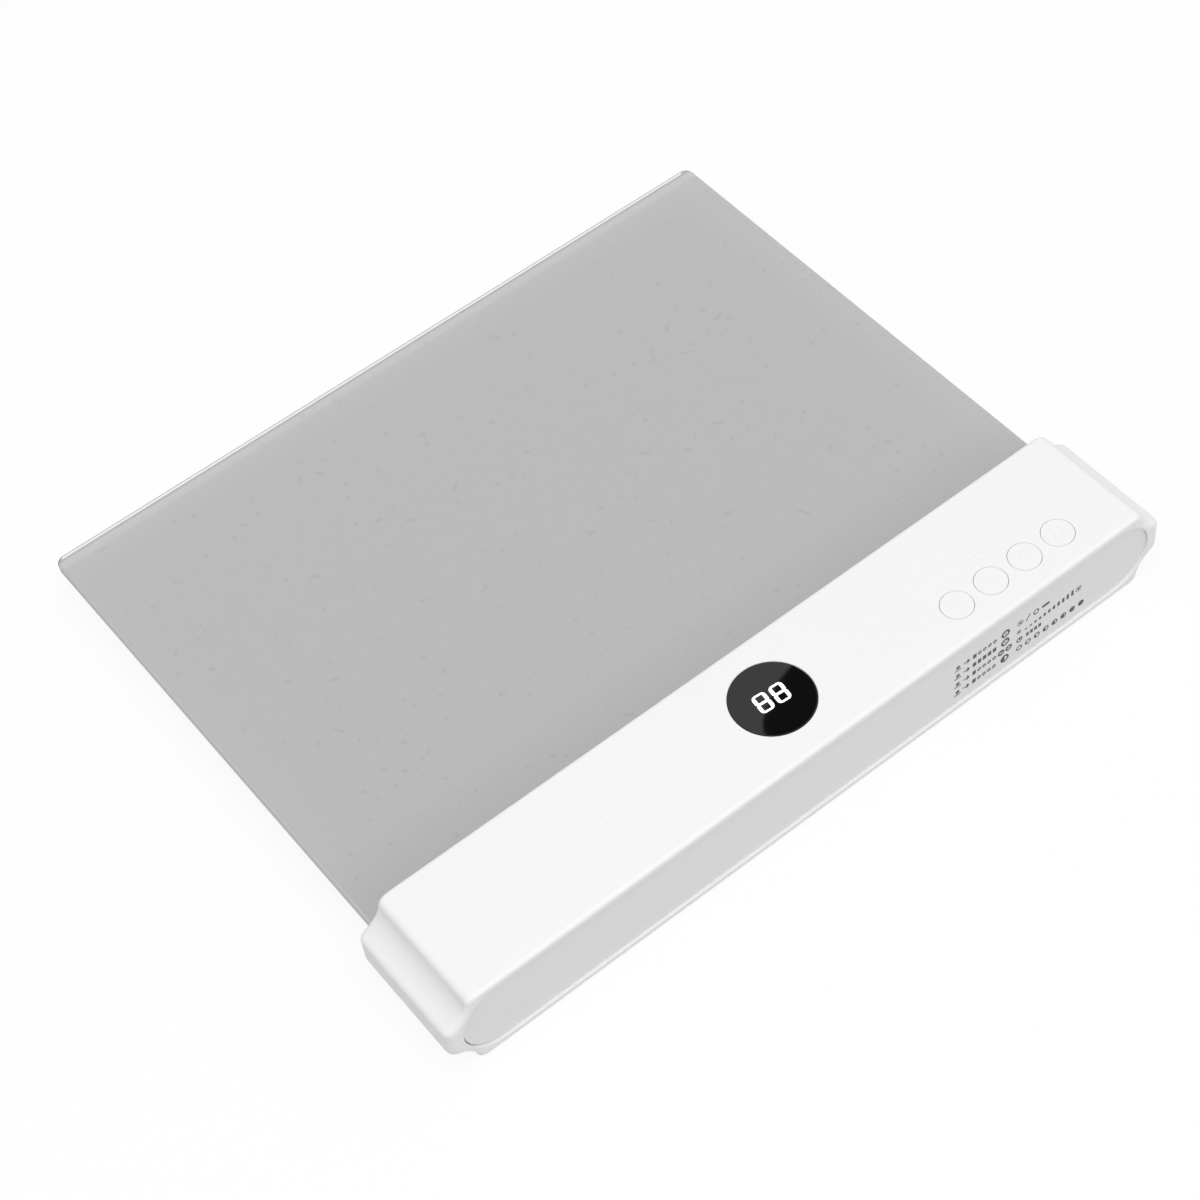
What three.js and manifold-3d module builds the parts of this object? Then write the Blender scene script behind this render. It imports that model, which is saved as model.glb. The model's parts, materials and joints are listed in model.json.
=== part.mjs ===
// Flat book light: a clear light panel that lies on a page, held along one edge by a white housing bar
// with a display window, four push buttons, a battery and a strip of light-emitting diodes inside.
// Millimetres, +Z up. X runs along the bar, the panel reaches towards +Y, and the buttons are at +X.
// The pieces are drawn with y = 0 at the bar's back face and z = 0 at the plane where its shells part.
import * as THREE from 'three';
import { mergeVertices } from 'three/addons/utils/BufferGeometryUtils.js';
import Module from 'manifold-3d';

const wasm = await Module();
wasm.setup();

// Housing bar: size and end profile
const bodyLength = 200;
const bodyDepth = 34.6;
const bodyHeight = 25.6;
const wall = 2;
const edgeRound = 1;
const cornerRound = 1.6;
const cornerLean = 0.8;
const flankInset = 1.6;
const flankDip = 7.3;
const earReach = 7.4;
const earShoulder = 5;
const earTurn = 4.3;
const earTip = 3.2;
const earRound = 1.4;

// Front plate and its recess
const recessOverhang = 3.3;
const recessRim = 2.1;
const recessChamfer = 0.15;
const plateSet = 0.7;
const plateThickness = 1.2;
const plateGap = 0.15;
const plateRound = 0.25;
const plateWall = 1.5;
const pegRadius = 1.5;
const pegGap = 0.2;
const pegRise = 5.5;
const pegInset = 12;
const pegPitch = 58;

// Light panel
const panelReach = 141.4;
const panelOverhang = 2.6;
const panelThickness = 3;
const panelCorner = 2.5;
const panelRound = 0.7;
const panelTongue = 9;
const panelGap = 0.2;

// Display window and digit block
const windowRadius = 10.45;
const windowThickness = 1.3;
const windowShift = 0.3;
const windowGap = 0.12;
const digitLength = 14.6;
const digitDepth = 9.6;
const digitGap = 0.3;

// Buttons: four round caps in a row, each on a tact switch
const buttonInset = 18.25;
const buttonPitch = 10.75;
const buttonFrontInset = 9.4;
const buttonRadius = 4.16;
const buttonGap = 0.25;
const buttonRound = 0.35;
const buttonTravel = 0.5;
const flangeRadius = 4.9;
const flangeThickness = 0.8;
const flangeGap = 0.4;
const stemRadius = 1.6;
const symbolDepth = 0.15;
const symbolLine = 0.5;
const symbolReach = 1.6;
const symbolGapAngle = Math.PI / 5;
const switchSide = 6;
const switchHeight = 3.5;
const plungerRadius = 1.7;
const plungerGap = 0.2;
const plungerRise = 0.9;
const plungerSink = 1.6;
const plungerSpare = 0.1;

// Hairline grooves in the top, one on each side of the window
const hairWindowGap = 12.75;
const hairInset = 35.5;
const hairShift = 0.3;
const hairWidth = 0.35;
const hairDepth = 0.15;

// Main board and what it carries
const boardThickness = 1.6;
const boardDrop = 7.2;
const boardLeadIn = 6.7;
const boardInset = 13.5;
const boardFrontInset = 4;
const boardStripGap = 2.2;
const chipHeight = 1.5;
const controllerLength = 10;
const controllerDepth = 4;
const controllerShift = 18;
const driverLength = 5;
const driverDepth = 4;
const driverShift = 36;
const socketLength = 8;
const socketDepth = 5.4;
const socketHeight = 5;
const socketInset = 7.5;

// Charging board with the inlet at the right-hand end
const inletWidth = 8.94;
const inletHeight = 3.26;
const inletLength = 7.3;
const inletWall = 0.3;
const inletSet = 0.4;
const inletGap = 0.15;
const inletShift = 0.35;
const tongueWidth = 6.7;
const tongueThickness = 0.7;
const chargeThickness = 1;
const chargeStripGap = 1.65;
const chargeInset = 15.5;
const chargeReach = 2;
const chargeChipSize = 4;
const chargeChipInset = 8;
const headerGap = 0.2;
const headerThickness = 1.5;
const headerWidth = 6;

// Light strip along the panel's inner edge
const stripInset = 2;
const stripHeight = 7;
const stripThickness = 1;
const diodeCount = 12;
const diodeInset = 12;
const diodeLength = 3.5;
const diodeHeight = 2.8;
const diodeThickness = 0.8;
const diodeGap = 0.4;
const stripGap = 0.2;
const stripSupportWidth = 6;
const stripSupportDepth = 1.2;
const stripSupportInset = 5;
const stripSupportShifts = [-14, 40];

// Battery cell, tabs and leads
const cellInset = 17;
const cellDigitGap = 10.7;
const cellGap = 0.3;
const cellLift = 0.6;
const poleRadius = 3;
const poleLength = 1;
const tabThickness = 0.3;
const tabWidth = 7;
const tabHeight = 12;
const cradleThickness = 1.6;
const cradleRise = 6.3;
const cradleGap = 0.25;
const cradleInset = 7;
const leadRadius = 0.6;
const leadGap = 0.3;
const leadBridge = 7.4;
const stripLeadShift = 12;
const stripLeadPitch = 2.4;
const stripLeadSetback = 1.2;

// Fasteners: case screws in deep wells from below, board screws from below, charging board screws from above
const caseScrewInset = 10;
const caseWellGap = 0.35;
const panelScrewInset = 30;
const panelScrewSetback = 5.6;
const wellRadius = 2.6;
const wellWall = 1.2;
const wellDepth = 6.8;
const caseHeadRadius = 2.2;
const caseHeadHeight = 1.6;
const caseShankRadius = 1.15;
const caseShankLength = 12;
const clearRadius = 1.5;
const pilotGap = 0.1;
const bossRadius = 2.6;
const bossGap = 0.15;
const boardBossRadius = 2.2;
const boardHeadRadius = 1.9;
const boardHeadHeight = 1.2;
const boardShankRadius = 0.8;
const boardShankLength = 6.6;
const boardHoleGap = 0.3;
const boardScrewInset = 3.4;
const boardScrewPitch = 37.3;
const postRadius = 2;
const chargeHeadRadius = 1.5;
const chargeHeadHeight = 0.9;
const chargeShankLength = 5;
const chargeScrewInsets = [12, 3.5];

// Cuts run past the faces that they open by this much
const overrun = 1;

// Counts of facets
const roundSteps = 3;
const rimSteps = 2;
const cornerSteps = 4;
const flankSteps = 6;
const arcSteps = 6;
const smallSides = 16;
const mediumSides = 24;
const largeSides = 36;
const leadSides = 8;
const redLeadSteps = 14;
const blackLeadSteps = 30;
const stripLeadSteps = 12;

// Places that follow from the sizes above
const topZ = bodyHeight / 2;
const ceilingZ = topZ - wall;
const frontY = -bodyDepth;
const plateFaceY = frontY + plateSet;
const recessFloorY = plateFaceY + plateThickness;
const frontInnerY = recessFloorY + plateWall;
const backInnerY = -wall;
const recessLength = bodyLength + 2 * recessOverhang;
const recessHeight = bodyHeight - 2 * recessRim;
const panelWidth = bodyLength + 2 * panelOverhang;
const windowY = windowShift - bodyDepth / 2;
const windowFloorZ = topZ - windowThickness;
const flangeTopZ = ceilingZ - flangeGap;
const flangeLowZ = flangeTopZ - flangeThickness;
const boardTopZ = ceilingZ - boardDrop;
const switchTopZ = boardTopZ + switchHeight;
const plungerTopZ = switchTopZ + plungerRise;
const boardLowZ = boardTopZ - boardThickness;
const inletLowZ = -inletHeight / 2;
const inletEndX = bodyLength / 2 + earReach - inletSet;
const chargeLowZ = inletLowZ - chargeThickness;
const diodeBackY = -panelTongue - diodeGap - diodeThickness;
const stripBackY = diodeBackY - stripThickness;
const diodeRun = bodyLength - 2 * diodeInset;
const supportBackY = stripBackY - stripGap - stripSupportDepth;
const boardStart = -digitLength / 2 - boardLeadIn;
const boardEnd = bodyLength / 2 - boardInset;
const boardFrontY = frontY + boardFrontInset;
const boardBackY = stripBackY - boardStripGap;
const boardMiddleY = (boardFrontY + boardBackY) / 2;
const socketStart = boardStart + socketInset;
const socketMiddleY = (boardFrontY + windowY - digitDepth / 2) / 2;
const socketFrontY = socketMiddleY - socketDepth / 2;
const socketBackY = socketMiddleY + socketDepth / 2;
const inletY = -bodyDepth / 2 - inletShift;
const chargeWidth = 2 * (stripBackY - chargeStripGap - inletY);
const chargeStart = bodyLength / 2 - chargeInset;
const headerStart = chargeStart + headerGap;
const cellStart = cellInset - bodyLength / 2;
const cellEnd = -digitLength / 2 - cellDigitGap;
const cellRoom = Math.min(supportBackY - frontInnerY, 2 * ceilingZ - 2 * cellLift);
const cellRadius = cellRoom / 2 - cellGap;
const cellY = frontInnerY + cellGap + cellRadius;
const cellZ = -ceilingZ + cellLift + cellRadius;
const headSeatZ = wellDepth - topZ;
const buttonY = frontY + buttonFrontInset;
const buttonPlaces = [3, 2, 1, 0].map((step) => bodyLength / 2 - buttonInset - step * buttonPitch);
const stripSupportPlaces = [
  stripSupportInset - bodyLength / 2, ...stripSupportShifts, bodyLength / 2 - stripSupportInset,
];
const chargeScrewPlaces = chargeScrewInsets.map((inset) => bodyLength / 2 - inset);

// Closed solid from a three.js geometry: shared corners are merged and flat leftovers dropped
function solid(geometry) {
  geometry.deleteAttribute('normal');
  geometry.deleteAttribute('uv');
  const merged = mergeVertices(geometry);
  const corners = merged.index.array;
  const faces = [];
  for (let i = 0; i < corners.length; i += 3) {
    const [a, b, c] = [corners[i], corners[i + 1], corners[i + 2]];
    if (a !== b && b !== c && c !== a) faces.push(a, b, c);
  }
  const vertProperties = new Float32Array(merged.attributes.position.array);
  return new wasm.Manifold(new wasm.Mesh({ numProp: 3, vertProperties, triVerts: new Uint32Array(faces) }));
}

// Geometry back from a solid
function geometryOf(shape) {
  const mesh = shape.getMesh();
  const geometry = new THREE.BufferGeometry();
  geometry.setAttribute('position', new THREE.BufferAttribute(new Float32Array(mesh.vertProperties), 3));
  geometry.setIndex(new THREE.BufferAttribute(new Uint32Array(mesh.triVerts), 1));
  geometry.computeVertexNormals();
  return geometry;
}

function block(x0, x1, y0, y1, z0, z1) {
  const geometry = new THREE.BoxGeometry(x1 - x0, y1 - y0, z1 - z0);
  geometry.translate((x0 + x1) / 2, (y0 + y1) / 2, (z0 + z1) / 2);
  return solid(geometry);
}

// Round bar along Z
function pillar(x, y, z0, z1, radius, sides = smallSides) {
  const geometry = new THREE.CylinderGeometry(radius, radius, z1 - z0, sides);
  geometry.rotateX(Math.PI / 2);
  geometry.translate(x, y, (z0 + z1) / 2);
  return solid(geometry);
}

// Round bar along Y
function peg(x, z, y0, y1, radius, sides = smallSides) {
  const geometry = new THREE.CylinderGeometry(radius, radius, y1 - y0, sides);
  geometry.translate(x, (y0 + y1) / 2, z);
  return solid(geometry);
}

// Turned body about Z from [radius, height] points that start and end on the axis, lowest first
function turned(points, sides) {
  const geometry = new THREE.LatheGeometry(points.map(([r, h]) => new THREE.Vector2(r, h)), sides);
  geometry.rotateX(Math.PI / 2);
  return solid(geometry);
}

function bevelOptions(depth, round) {
  const bevel = {
    bevelEnabled: true,
    bevelThickness: round,
    bevelSize: round,
    bevelOffset: -round,
    bevelSegments: roundSteps,
  };
  const plain = { bevelEnabled: false };
  return { depth: depth - 2 * round, curveSegments: arcSteps, ...(round > 0 ? bevel : plain) };
}

// Extrudes a shape drawn in X and Z from y0 to y1, with its two rims rounded
function alongDepth(shape, y0, y1, round = 0) {
  const geometry = new THREE.ExtrudeGeometry(shape, bevelOptions(y1 - y0, round));
  geometry.translate(0, 0, round);
  geometry.rotateX(Math.PI / 2);
  geometry.translate(0, y1, 0);
  return solid(geometry);
}

// Extrudes a shape drawn in X and Y from z0 to z1, with its two rims rounded
function alongHeight(shape, z0, z1, round = 0) {
  const geometry = new THREE.ExtrudeGeometry(shape, bevelOptions(z1 - z0, round));
  geometry.translate(0, 0, z0 + round);
  return solid(geometry);
}

// Extrudes a shape drawn in Y and Z from x0 to x1
function alongLength(shape, x0, x1) {
  const geometry = new THREE.ExtrudeGeometry(shape, bevelOptions(x1 - x0, 0));
  geometry.rotateX(Math.PI / 2);
  geometry.rotateZ(Math.PI / 2);
  geometry.translate(x0, 0, 0);
  return solid(geometry);
}

// Long hole shape with round ends, centred on (x, y)
function stadium(length, height, x = 0, y = 0) {
  const radius = height / 2;
  const run = length / 2 - radius;
  const shape = new THREE.Shape();
  shape.absarc(x + run, y, radius, -Math.PI / 2, Math.PI / 2);
  shape.absarc(x - run, y, radius, Math.PI / 2, 1.5 * Math.PI);
  return shape;
}

function joined(shapes) {
  return shapes.reduce((whole, next) => whole.add(next));
}

function cut(body, tools) {
  return tools.reduce((left, tool) => left.subtract(tool), body);
}

// End profile of the bar, drawn inset from the outside: flat top, hollow flank, thin ear at mid-height
function outline(inset) {
  const x = bodyLength / 2 - inset;
  const z = topZ - inset;
  const squeeze = (earShoulder - inset) / earShoulder;
  const tipX = x + earReach;
  const point = (px, pz) => new THREE.Vector2(px, pz);
  const top = point(x - cornerRound, z);
  const side = point(x + cornerLean, z - cornerRound);
  const shoulder = point(tipX - earRound, earShoulder * squeeze);
  const tip = point(tipX, earTip * squeeze);
  const corner = new THREE.QuadraticBezierCurve(top, point(x + cornerLean / 2, z), side);
  const flank = new THREE.QuadraticBezierCurve(side, point(x + flankInset, flankDip - inset), shoulder);
  const ear = new THREE.QuadraticBezierCurve(shoulder, point(tipX, earTurn * squeeze), tip);
  const quarter = [
    ...corner.getPoints(cornerSteps),
    ...flank.getPoints(flankSteps).slice(1),
    ...ear.getPoints(cornerSteps).slice(1),
  ];
  const mirrored = (signX, signZ) => quarter.map((p) => point(signX * p.x, signZ * p.y));
  return new THREE.Shape([
    ...mirrored(1, 1), ...mirrored(1, -1).reverse(), ...mirrored(-1, -1), ...mirrored(-1, 1).reverse(),
  ]);
}

// Front recess with its chamfered lip
function recessCut() {
  const shape = stadium(recessLength, recessHeight);
  const floor = alongDepth(shape, frontY - overrun, recessFloorY);
  const lip = new THREE.ExtrudeGeometry(shape, {
    depth: overrun,
    curveSegments: arcSteps,
    bevelThickness: recessChamfer,
    bevelSize: recessChamfer,
    bevelSegments: 1,
  });
  lip.rotateX(Math.PI / 2);
  lip.translate(0, frontY, 0);
  return floor.add(solid(lip));
}

// Places of the front plate's pegs: two rows of four
const pegOuter = bodyLength / 2 - pegInset;
const pegInner = pegOuter - pegPitch;
const pegSpots = [-pegOuter, -pegInner, pegInner, pegOuter].flatMap(
  (x) => [[x, pegRise], [x, -pegRise]],
);

// Both shells in one, before they are parted, with the recess, the panel's slot and the inlet's mouth
function hollowCase() {
  const outside = alongDepth(outline(0), frontY, 0, edgeRound);
  const inside = alongDepth(outline(wall), frontInnerY, backInnerY);
  const slotX = panelWidth / 2 + panelGap;
  const slotZ = panelThickness / 2 + panelGap;
  const slot = block(-slotX, slotX, backInnerY - overrun, overrun, -slotZ, slotZ);
  const mouth = stadium(inletWidth + 2 * inletGap, inletHeight + 2 * inletGap, inletY, 0);
  const mouthCut = alongLength(mouth, bodyLength / 2, inletEndX + inletSet + overrun);
  const pegHoles = pegSpots.map(
    ([x, z]) => peg(x, z, recessFloorY - overrun, frontInnerY + overrun, pegRadius + pegGap),
  );
  return cut(outside, [inside, recessCut(), slot, mouthCut, ...pegHoles]);
}

function half(whole, low, high) {
  const reach = bodyLength / 2 + earReach + overrun;
  return whole.intersect(block(-reach, reach, frontY - overrun, overrun, low, high));
}

// Places of the case screws: two near the front corners and two through the panel's tongue
const caseScrewX = bodyLength / 2 - caseScrewInset;
const caseScrewY = inletY - chargeWidth / 2 - caseWellGap - wellWall - wellRadius;
const panelScrewX = bodyLength / 2 - panelScrewInset;
const panelScrewGap = panelThickness / 2 + bossGap;
const caseScrewSpots = [
  { x: -caseScrewX, y: caseScrewY, gap: bossGap },
  { x: caseScrewX, y: caseScrewY, gap: bossGap },
  { x: -panelScrewX, y: -panelScrewSetback, gap: panelScrewGap },
  { x: panelScrewX, y: -panelScrewSetback, gap: panelScrewGap },
];

// Places of the board screws: in a row along the board's back edge
const boardScrewSpots = [0, 1, 2].map((step) => [
  boardStart + boardScrewInset + step * boardScrewPitch, boardBackY - boardScrewInset,
]);

function topShell(whole) {
  const bosses = caseScrewSpots.map(({ x, y, gap }) => pillar(x, y, gap, topZ - wall / 2, bossRadius));
  const standoffs = boardScrewSpots.map(
    ([x, y]) => pillar(x, y, boardTopZ, topZ - wall / 2, boardBossRadius),
  );
  const shell = joined([half(whole, 0, topZ + overrun), ...bosses, ...standoffs]);
  const casePilots = caseScrewSpots.map(({ x, y }) => pillar(
    x, y, -overrun, headSeatZ + caseShankLength + pilotGap, caseShankRadius + pilotGap,
  ));
  const boardPilots = boardScrewSpots.map(([x, y]) => pillar(
    x, y, boardLowZ, boardLowZ + boardShankLength + pilotGap, boardShankRadius + pilotGap, smallSides / 2,
  ));
  const recess = pillar(0, windowY, windowFloorZ, topZ + overrun, windowRadius + windowGap, largeSides);
  const openX = digitLength / 2 + digitGap;
  const openY = digitDepth / 2 + digitGap;
  const opening = block(-openX, openX, windowY - openY, windowY + openY, boardTopZ, topZ);
  const holes = buttonPlaces.map(
    (x) => pillar(x, buttonY, boardTopZ, topZ + overrun, buttonRadius + buttonGap, largeSides),
  );
  const hairs = [-1, 1].map((side) => {
    const start = windowRadius + hairWindowGap;
    const end = bodyLength / 2 - hairInset;
    const shape = stadium(end - start, hairWidth, side * (start + end) / 2, -hairShift - bodyDepth / 2);
    return alongHeight(shape, topZ - hairDepth, topZ + overrun);
  });
  return cut(shell, [...casePilots, ...boardPilots, recess, opening, ...holes, ...hairs]);
}

// One rest for the light strip: a ledge below its lower edge and a stop behind it
function stripSupport(x) {
  const near = stripBackY - stripGap;
  const x0 = x - stripSupportWidth / 2;
  const x1 = x + stripSupportWidth / 2;
  const lowZ = -topZ + wall / 2;
  const ledgeZ = -stripHeight / 2 - stripGap;
  const ledge = block(x0, x1, supportBackY, diodeBackY, lowZ, ledgeZ);
  const stop = block(x0, x1, supportBackY, near, lowZ, stripHeight / 2);
  return ledge.add(stop);
}

// Ribs that carry the cell, hollowed to its round
function cradle() {
  const middle = (cellStart + cellEnd) / 2;
  const places = [cellStart + cradleInset, middle, cellEnd - cradleInset];
  const ribs = places.map((x) => block(
    x - cradleThickness / 2, x + cradleThickness / 2, frontInnerY - plateWall / 2, cellY + cellRadius,
    -topZ + wall / 2, -ceilingZ + cradleRise,
  ));
  return joined(ribs).subtract(rodAlongLength(cellStart, cellEnd, cellRadius + cradleGap));
}

function rodAlongLength(x0, x1, radius) {
  const geometry = new THREE.CylinderGeometry(radius, radius, x1 - x0, largeSides);
  geometry.rotateZ(Math.PI / 2);
  geometry.translate((x0 + x1) / 2, cellY, cellZ);
  return solid(geometry);
}

function bottomShell(whole) {
  const lowZ = -topZ + wall / 2;
  const wells = caseScrewSpots.map(
    ({ x, y, gap }) => pillar(x, y, lowZ, -gap, wellRadius + wellWall, mediumSides),
  );
  const posts = chargeScrewPlaces.map((x) => pillar(x, inletY, lowZ, chargeLowZ, postRadius));
  const supports = stripSupportPlaces.map(stripSupport);
  const inside = joined([...wells, ...posts, ...supports, cradle()]);
  const kept = inside.intersect(alongDepth(outline(wall / 2), frontInnerY - plateWall / 2, backInnerY / 2));
  const shell = half(whole, -topZ - overrun, 0).add(kept);
  const wellCuts = caseScrewSpots.map(
    ({ x, y }) => pillar(x, y, -topZ - overrun, headSeatZ, wellRadius, mediumSides),
  );
  const shankCuts = caseScrewSpots.map(
    ({ x, y }) => pillar(x, y, headSeatZ - overrun, 0, clearRadius),
  );
  const postCuts = chargeScrewPlaces.map((x) => pillar(
    x, inletY, chargeLowZ - chargeShankLength, 0, boardShankRadius + pilotGap, smallSides / 2,
  ));
  return cut(shell, [...wellCuts, ...shankCuts, ...postCuts]);
}

function frontPlate() {
  const shape = stadium(recessLength - 2 * plateGap, recessHeight - 2 * plateGap);
  const plate = alongDepth(shape, plateFaceY, recessFloorY, plateRound);
  const pegEnd = frontInnerY - pegGap;
  const pegs = pegSpots.map(([x, z]) => peg(x, z, recessFloorY - plateThickness / 2, pegEnd, pegRadius));
  return joined([plate, ...pegs]);
}

// Plan of the panel: square at the tongue, rounded at the two far corners
function panelPlan() {
  const x = panelWidth / 2;
  const shape = new THREE.Shape();
  shape.moveTo(-x, -panelTongue);
  shape.lineTo(x, -panelTongue);
  shape.absarc(x - panelCorner, panelReach - panelCorner, panelCorner, 0, Math.PI / 2);
  shape.absarc(-x + panelCorner, panelReach - panelCorner, panelCorner, Math.PI / 2, Math.PI);
  return shape;
}

function lightPanel() {
  const plate = alongHeight(panelPlan(), -panelThickness / 2, panelThickness / 2, panelRound);
  const holes = caseScrewSpots.slice(2).map(
    ({ x, y }) => pillar(x, y, -panelThickness, panelThickness, clearRadius),
  );
  return cut(plate, holes);
}

// Shallow signs in the caps: a bar, a cross, a broken ring with a bar, and a half-filled ring
function barSign(length, width) {
  return block(-length, length, -width / 2, width / 2, topZ - symbolDepth, topZ + overrun);
}

function ringSign(from, to) {
  const outer = symbolReach;
  const inner = symbolReach - symbolLine;
  const shape = new THREE.Shape();
  shape.absarc(0, 0, outer, from, to);
  shape.absarc(0, 0, inner, to, from, true);
  return alongHeight(shape, topZ - symbolDepth, topZ + overrun);
}

function upBar(low, high) {
  return block(-symbolLine / 2, symbolLine / 2, low, high, topZ - symbolDepth, topZ + overrun);
}

function halfDisc() {
  const shape = new THREE.Shape();
  shape.absarc(0, 0, symbolReach - symbolLine / 2, -Math.PI / 2, Math.PI / 2);
  return alongHeight(shape, topZ - symbolDepth, topZ + overrun);
}

const signs = {
  minus: () => barSign(symbolReach, symbolLine),
  plus: () => barSign(symbolReach, symbolLine).add(upBar(-symbolReach, symbolReach)),
  power: () => {
    const middle = Math.PI / 2;
    const ring = ringSign(middle + symbolGapAngle, middle - symbolGapAngle + 2 * Math.PI);
    return ring.add(upBar(symbolLine / 2, symbolReach + symbolLine / 2));
  },
  mode: () => ringSign(Math.PI / 2, 1.5 * Math.PI).add(halfDisc()),
};

function buttonCap(sign) {
  const rim = [];
  for (let i = 0; i <= rimSteps; i += 1) {
    const angle = (Math.PI / 2) * (i / rimSteps);
    const r = buttonRadius - buttonRound + buttonRound * Math.cos(angle);
    rim.push([r, topZ - buttonRound + buttonRound * Math.sin(angle)]);
  }
  const cap = turned([
    [0, plungerTopZ], [stemRadius, plungerTopZ], [stemRadius, flangeLowZ], [flangeRadius, flangeLowZ],
    [flangeRadius, flangeTopZ], [buttonRadius, flangeTopZ], ...rim, [0, topZ],
  ], largeSides);
  return cap.subtract(sign());
}

function switchBody() {
  const side = switchSide / 2;
  const wellZ = switchTopZ - plungerSink - buttonTravel - plungerSpare;
  const well = pillar(0, 0, wellZ, switchTopZ + overrun, plungerRadius + plungerGap);
  return block(-side, side, -side, side, boardTopZ, switchTopZ).subtract(well);
}

function plunger() {
  return pillar(0, 0, switchTopZ - plungerSink, plungerTopZ, plungerRadius);
}

function mainBoard() {
  const board = block(boardStart, boardEnd, boardFrontY, boardBackY, boardLowZ, boardTopZ);
  const holes = boardScrewSpots.map(
    ([x, y]) => pillar(x, y, boardLowZ - overrun, boardTopZ + overrun, boardShankRadius + boardHoleGap),
  );
  return cut(board, holes);
}

// Chip on the board's lower face
function lowChip(x, length, depth) {
  return block(
    x - length / 2, x + length / 2, boardMiddleY - depth / 2, boardMiddleY + depth / 2,
    boardLowZ - chipHeight, boardLowZ,
  );
}

function chargeBoard() {
  const y0 = inletY - chargeWidth / 2;
  const end = bodyLength / 2 + chargeReach;
  const board = block(chargeStart, end, y0, y0 + chargeWidth, chargeLowZ, inletLowZ);
  const holes = chargeScrewPlaces.map(
    (x) => pillar(x, inletY, chargeLowZ - overrun, inletLowZ + overrun, boardShankRadius + boardHoleGap),
  );
  return cut(board, holes);
}

// Inlet: a metal shell with round ends, open towards +X, with the contact tongue inside
function inlet() {
  const start = inletEndX - inletLength;
  const shell = alongLength(stadium(inletWidth, inletHeight, inletY, 0), start, inletEndX);
  const inner = stadium(inletWidth - 2 * inletWall, inletHeight - 2 * inletWall, inletY, 0);
  const room = alongLength(inner, start + inletWall, inletEndX + overrun);
  const y0 = inletY - tongueWidth / 2;
  const tongue = block(
    start, inletEndX - inletLength / 4, y0, y0 + tongueWidth, -tongueThickness / 2, tongueThickness / 2,
  );
  return shell.subtract(room).add(tongue);
}

function chargeChip() {
  const reach = chargeChipSize / 2;
  const x = bodyLength / 2 - chargeChipInset;
  return block(
    x - reach, x + reach, inletY - reach, inletY + reach,
    inletLowZ, inletLowZ + chipHeight,
  );
}

function linkHeader() {
  const y0 = inletY - headerWidth / 2;
  return block(headerStart, headerStart + headerThickness, y0, y0 + headerWidth, inletLowZ, boardLowZ);
}

function stripBoard() {
  const x = bodyLength / 2 - stripInset;
  return block(-x, x, stripBackY, diodeBackY, -stripHeight / 2, stripHeight / 2);
}

function diode(index) {
  const x = (index / (diodeCount - 1) - 1 / 2) * diodeRun;
  return block(
    x - diodeLength / 2, x + diodeLength / 2, diodeBackY, diodeBackY + diodeThickness,
    -diodeHeight / 2, diodeHeight / 2,
  );
}

// Round cell along X with the raised pole at its right-hand end
function cell() {
  const geometry = new THREE.CylinderGeometry(poleRadius, poleRadius, poleLength + wall, smallSides);
  geometry.rotateZ(Math.PI / 2);
  geometry.translate(cellEnd + (poleLength - wall) / 2, cellY, cellZ);
  return rodAlongLength(cellStart, cellEnd, cellRadius).add(solid(geometry));
}

function cellTab(x0) {
  return block(
    x0, x0 + tabThickness, cellY - tabWidth / 2, cellY + tabWidth / 2, cellZ - tabWidth / 2,
    cellZ + tabHeight - tabWidth / 2,
  );
}

// Insulated lead along a smooth route of points
function lead(points, steps) {
  const route = new THREE.CatmullRomCurve3(points.map(([x, y, z]) => new THREE.Vector3(x, y, z)));
  const section = new THREE.Shape();
  section.absarc(0, 0, leadRadius, 0, 2 * Math.PI);
  const options = { extrudePath: route, steps, curveSegments: leadSides / 2 };
  return solid(new THREE.ExtrudeGeometry(section, options));
}

const socketFaceX = socketStart - leadGap;
const rightTabX = cellEnd + poleLength + tabThickness + leadGap + leadRadius;
const leftTabX = cellStart - tabThickness - leadGap - leadRadius;
const leadAside = (cellRadius + leadGap + leadRadius) * Math.SQRT1_2;
const shoulderY = cellY - leadAside;
const socketLeadZ = boardTopZ + socketHeight / 2;
const shoulderZ = Math.max(cellZ + leadAside, socketLeadZ);
const socketNearY = socketBackY - socketDepth / 4;
const socketFarY = socketFrontY + socketDepth / 4;

function redLead() {
  return lead([
    [rightTabX, cellY, cellZ + leadRadius],
    [rightTabX, cellY - leadRadius, boardTopZ],
    [rightTabX + leadRadius, (cellY + socketNearY) / 2, socketLeadZ],
    [boardStart + 2 * leadRadius, socketNearY, socketLeadZ + leadRadius],
    [socketFaceX, socketNearY, socketLeadZ],
  ], redLeadSteps);
}

function blackLead() {
  return lead([
    [leftTabX, cellY, cellZ + leadAside / 2],
    [leftTabX, cellY - leadAside / 2, cellZ + leadAside - leadRadius],
    [leftTabX, shoulderY, shoulderZ],
    [cellStart + cradleInset / 2, shoulderY, shoulderZ],
    [(cellStart + cellEnd) / 2, shoulderY, shoulderZ],
    [cellEnd, shoulderY, shoulderZ],
    [boardStart - leadRadius, socketFarY, socketLeadZ],
    [socketFaceX, socketFarY, socketLeadZ],
  ], blackLeadSteps);
}

// Lead that bridges from the main board's top to the upper edge of the light strip
function stripLead(index) {
  const x = stripLeadShift + index * stripLeadPitch;
  const y0 = boardBackY - stripLeadSetback;
  const y1 = (stripBackY + diodeBackY) / 2;
  const low0 = boardTopZ + leadGap;
  const low1 = stripHeight / 2 + leadGap;
  return lead([
    [x, y0, low0], [x, y0, (low0 + leadBridge) / 2], [x, (y0 + y1) / 2, leadBridge],
    [x, y1, (low1 + leadBridge) / 2], [x, y1, low1],
  ], stripLeadSteps);
}

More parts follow.
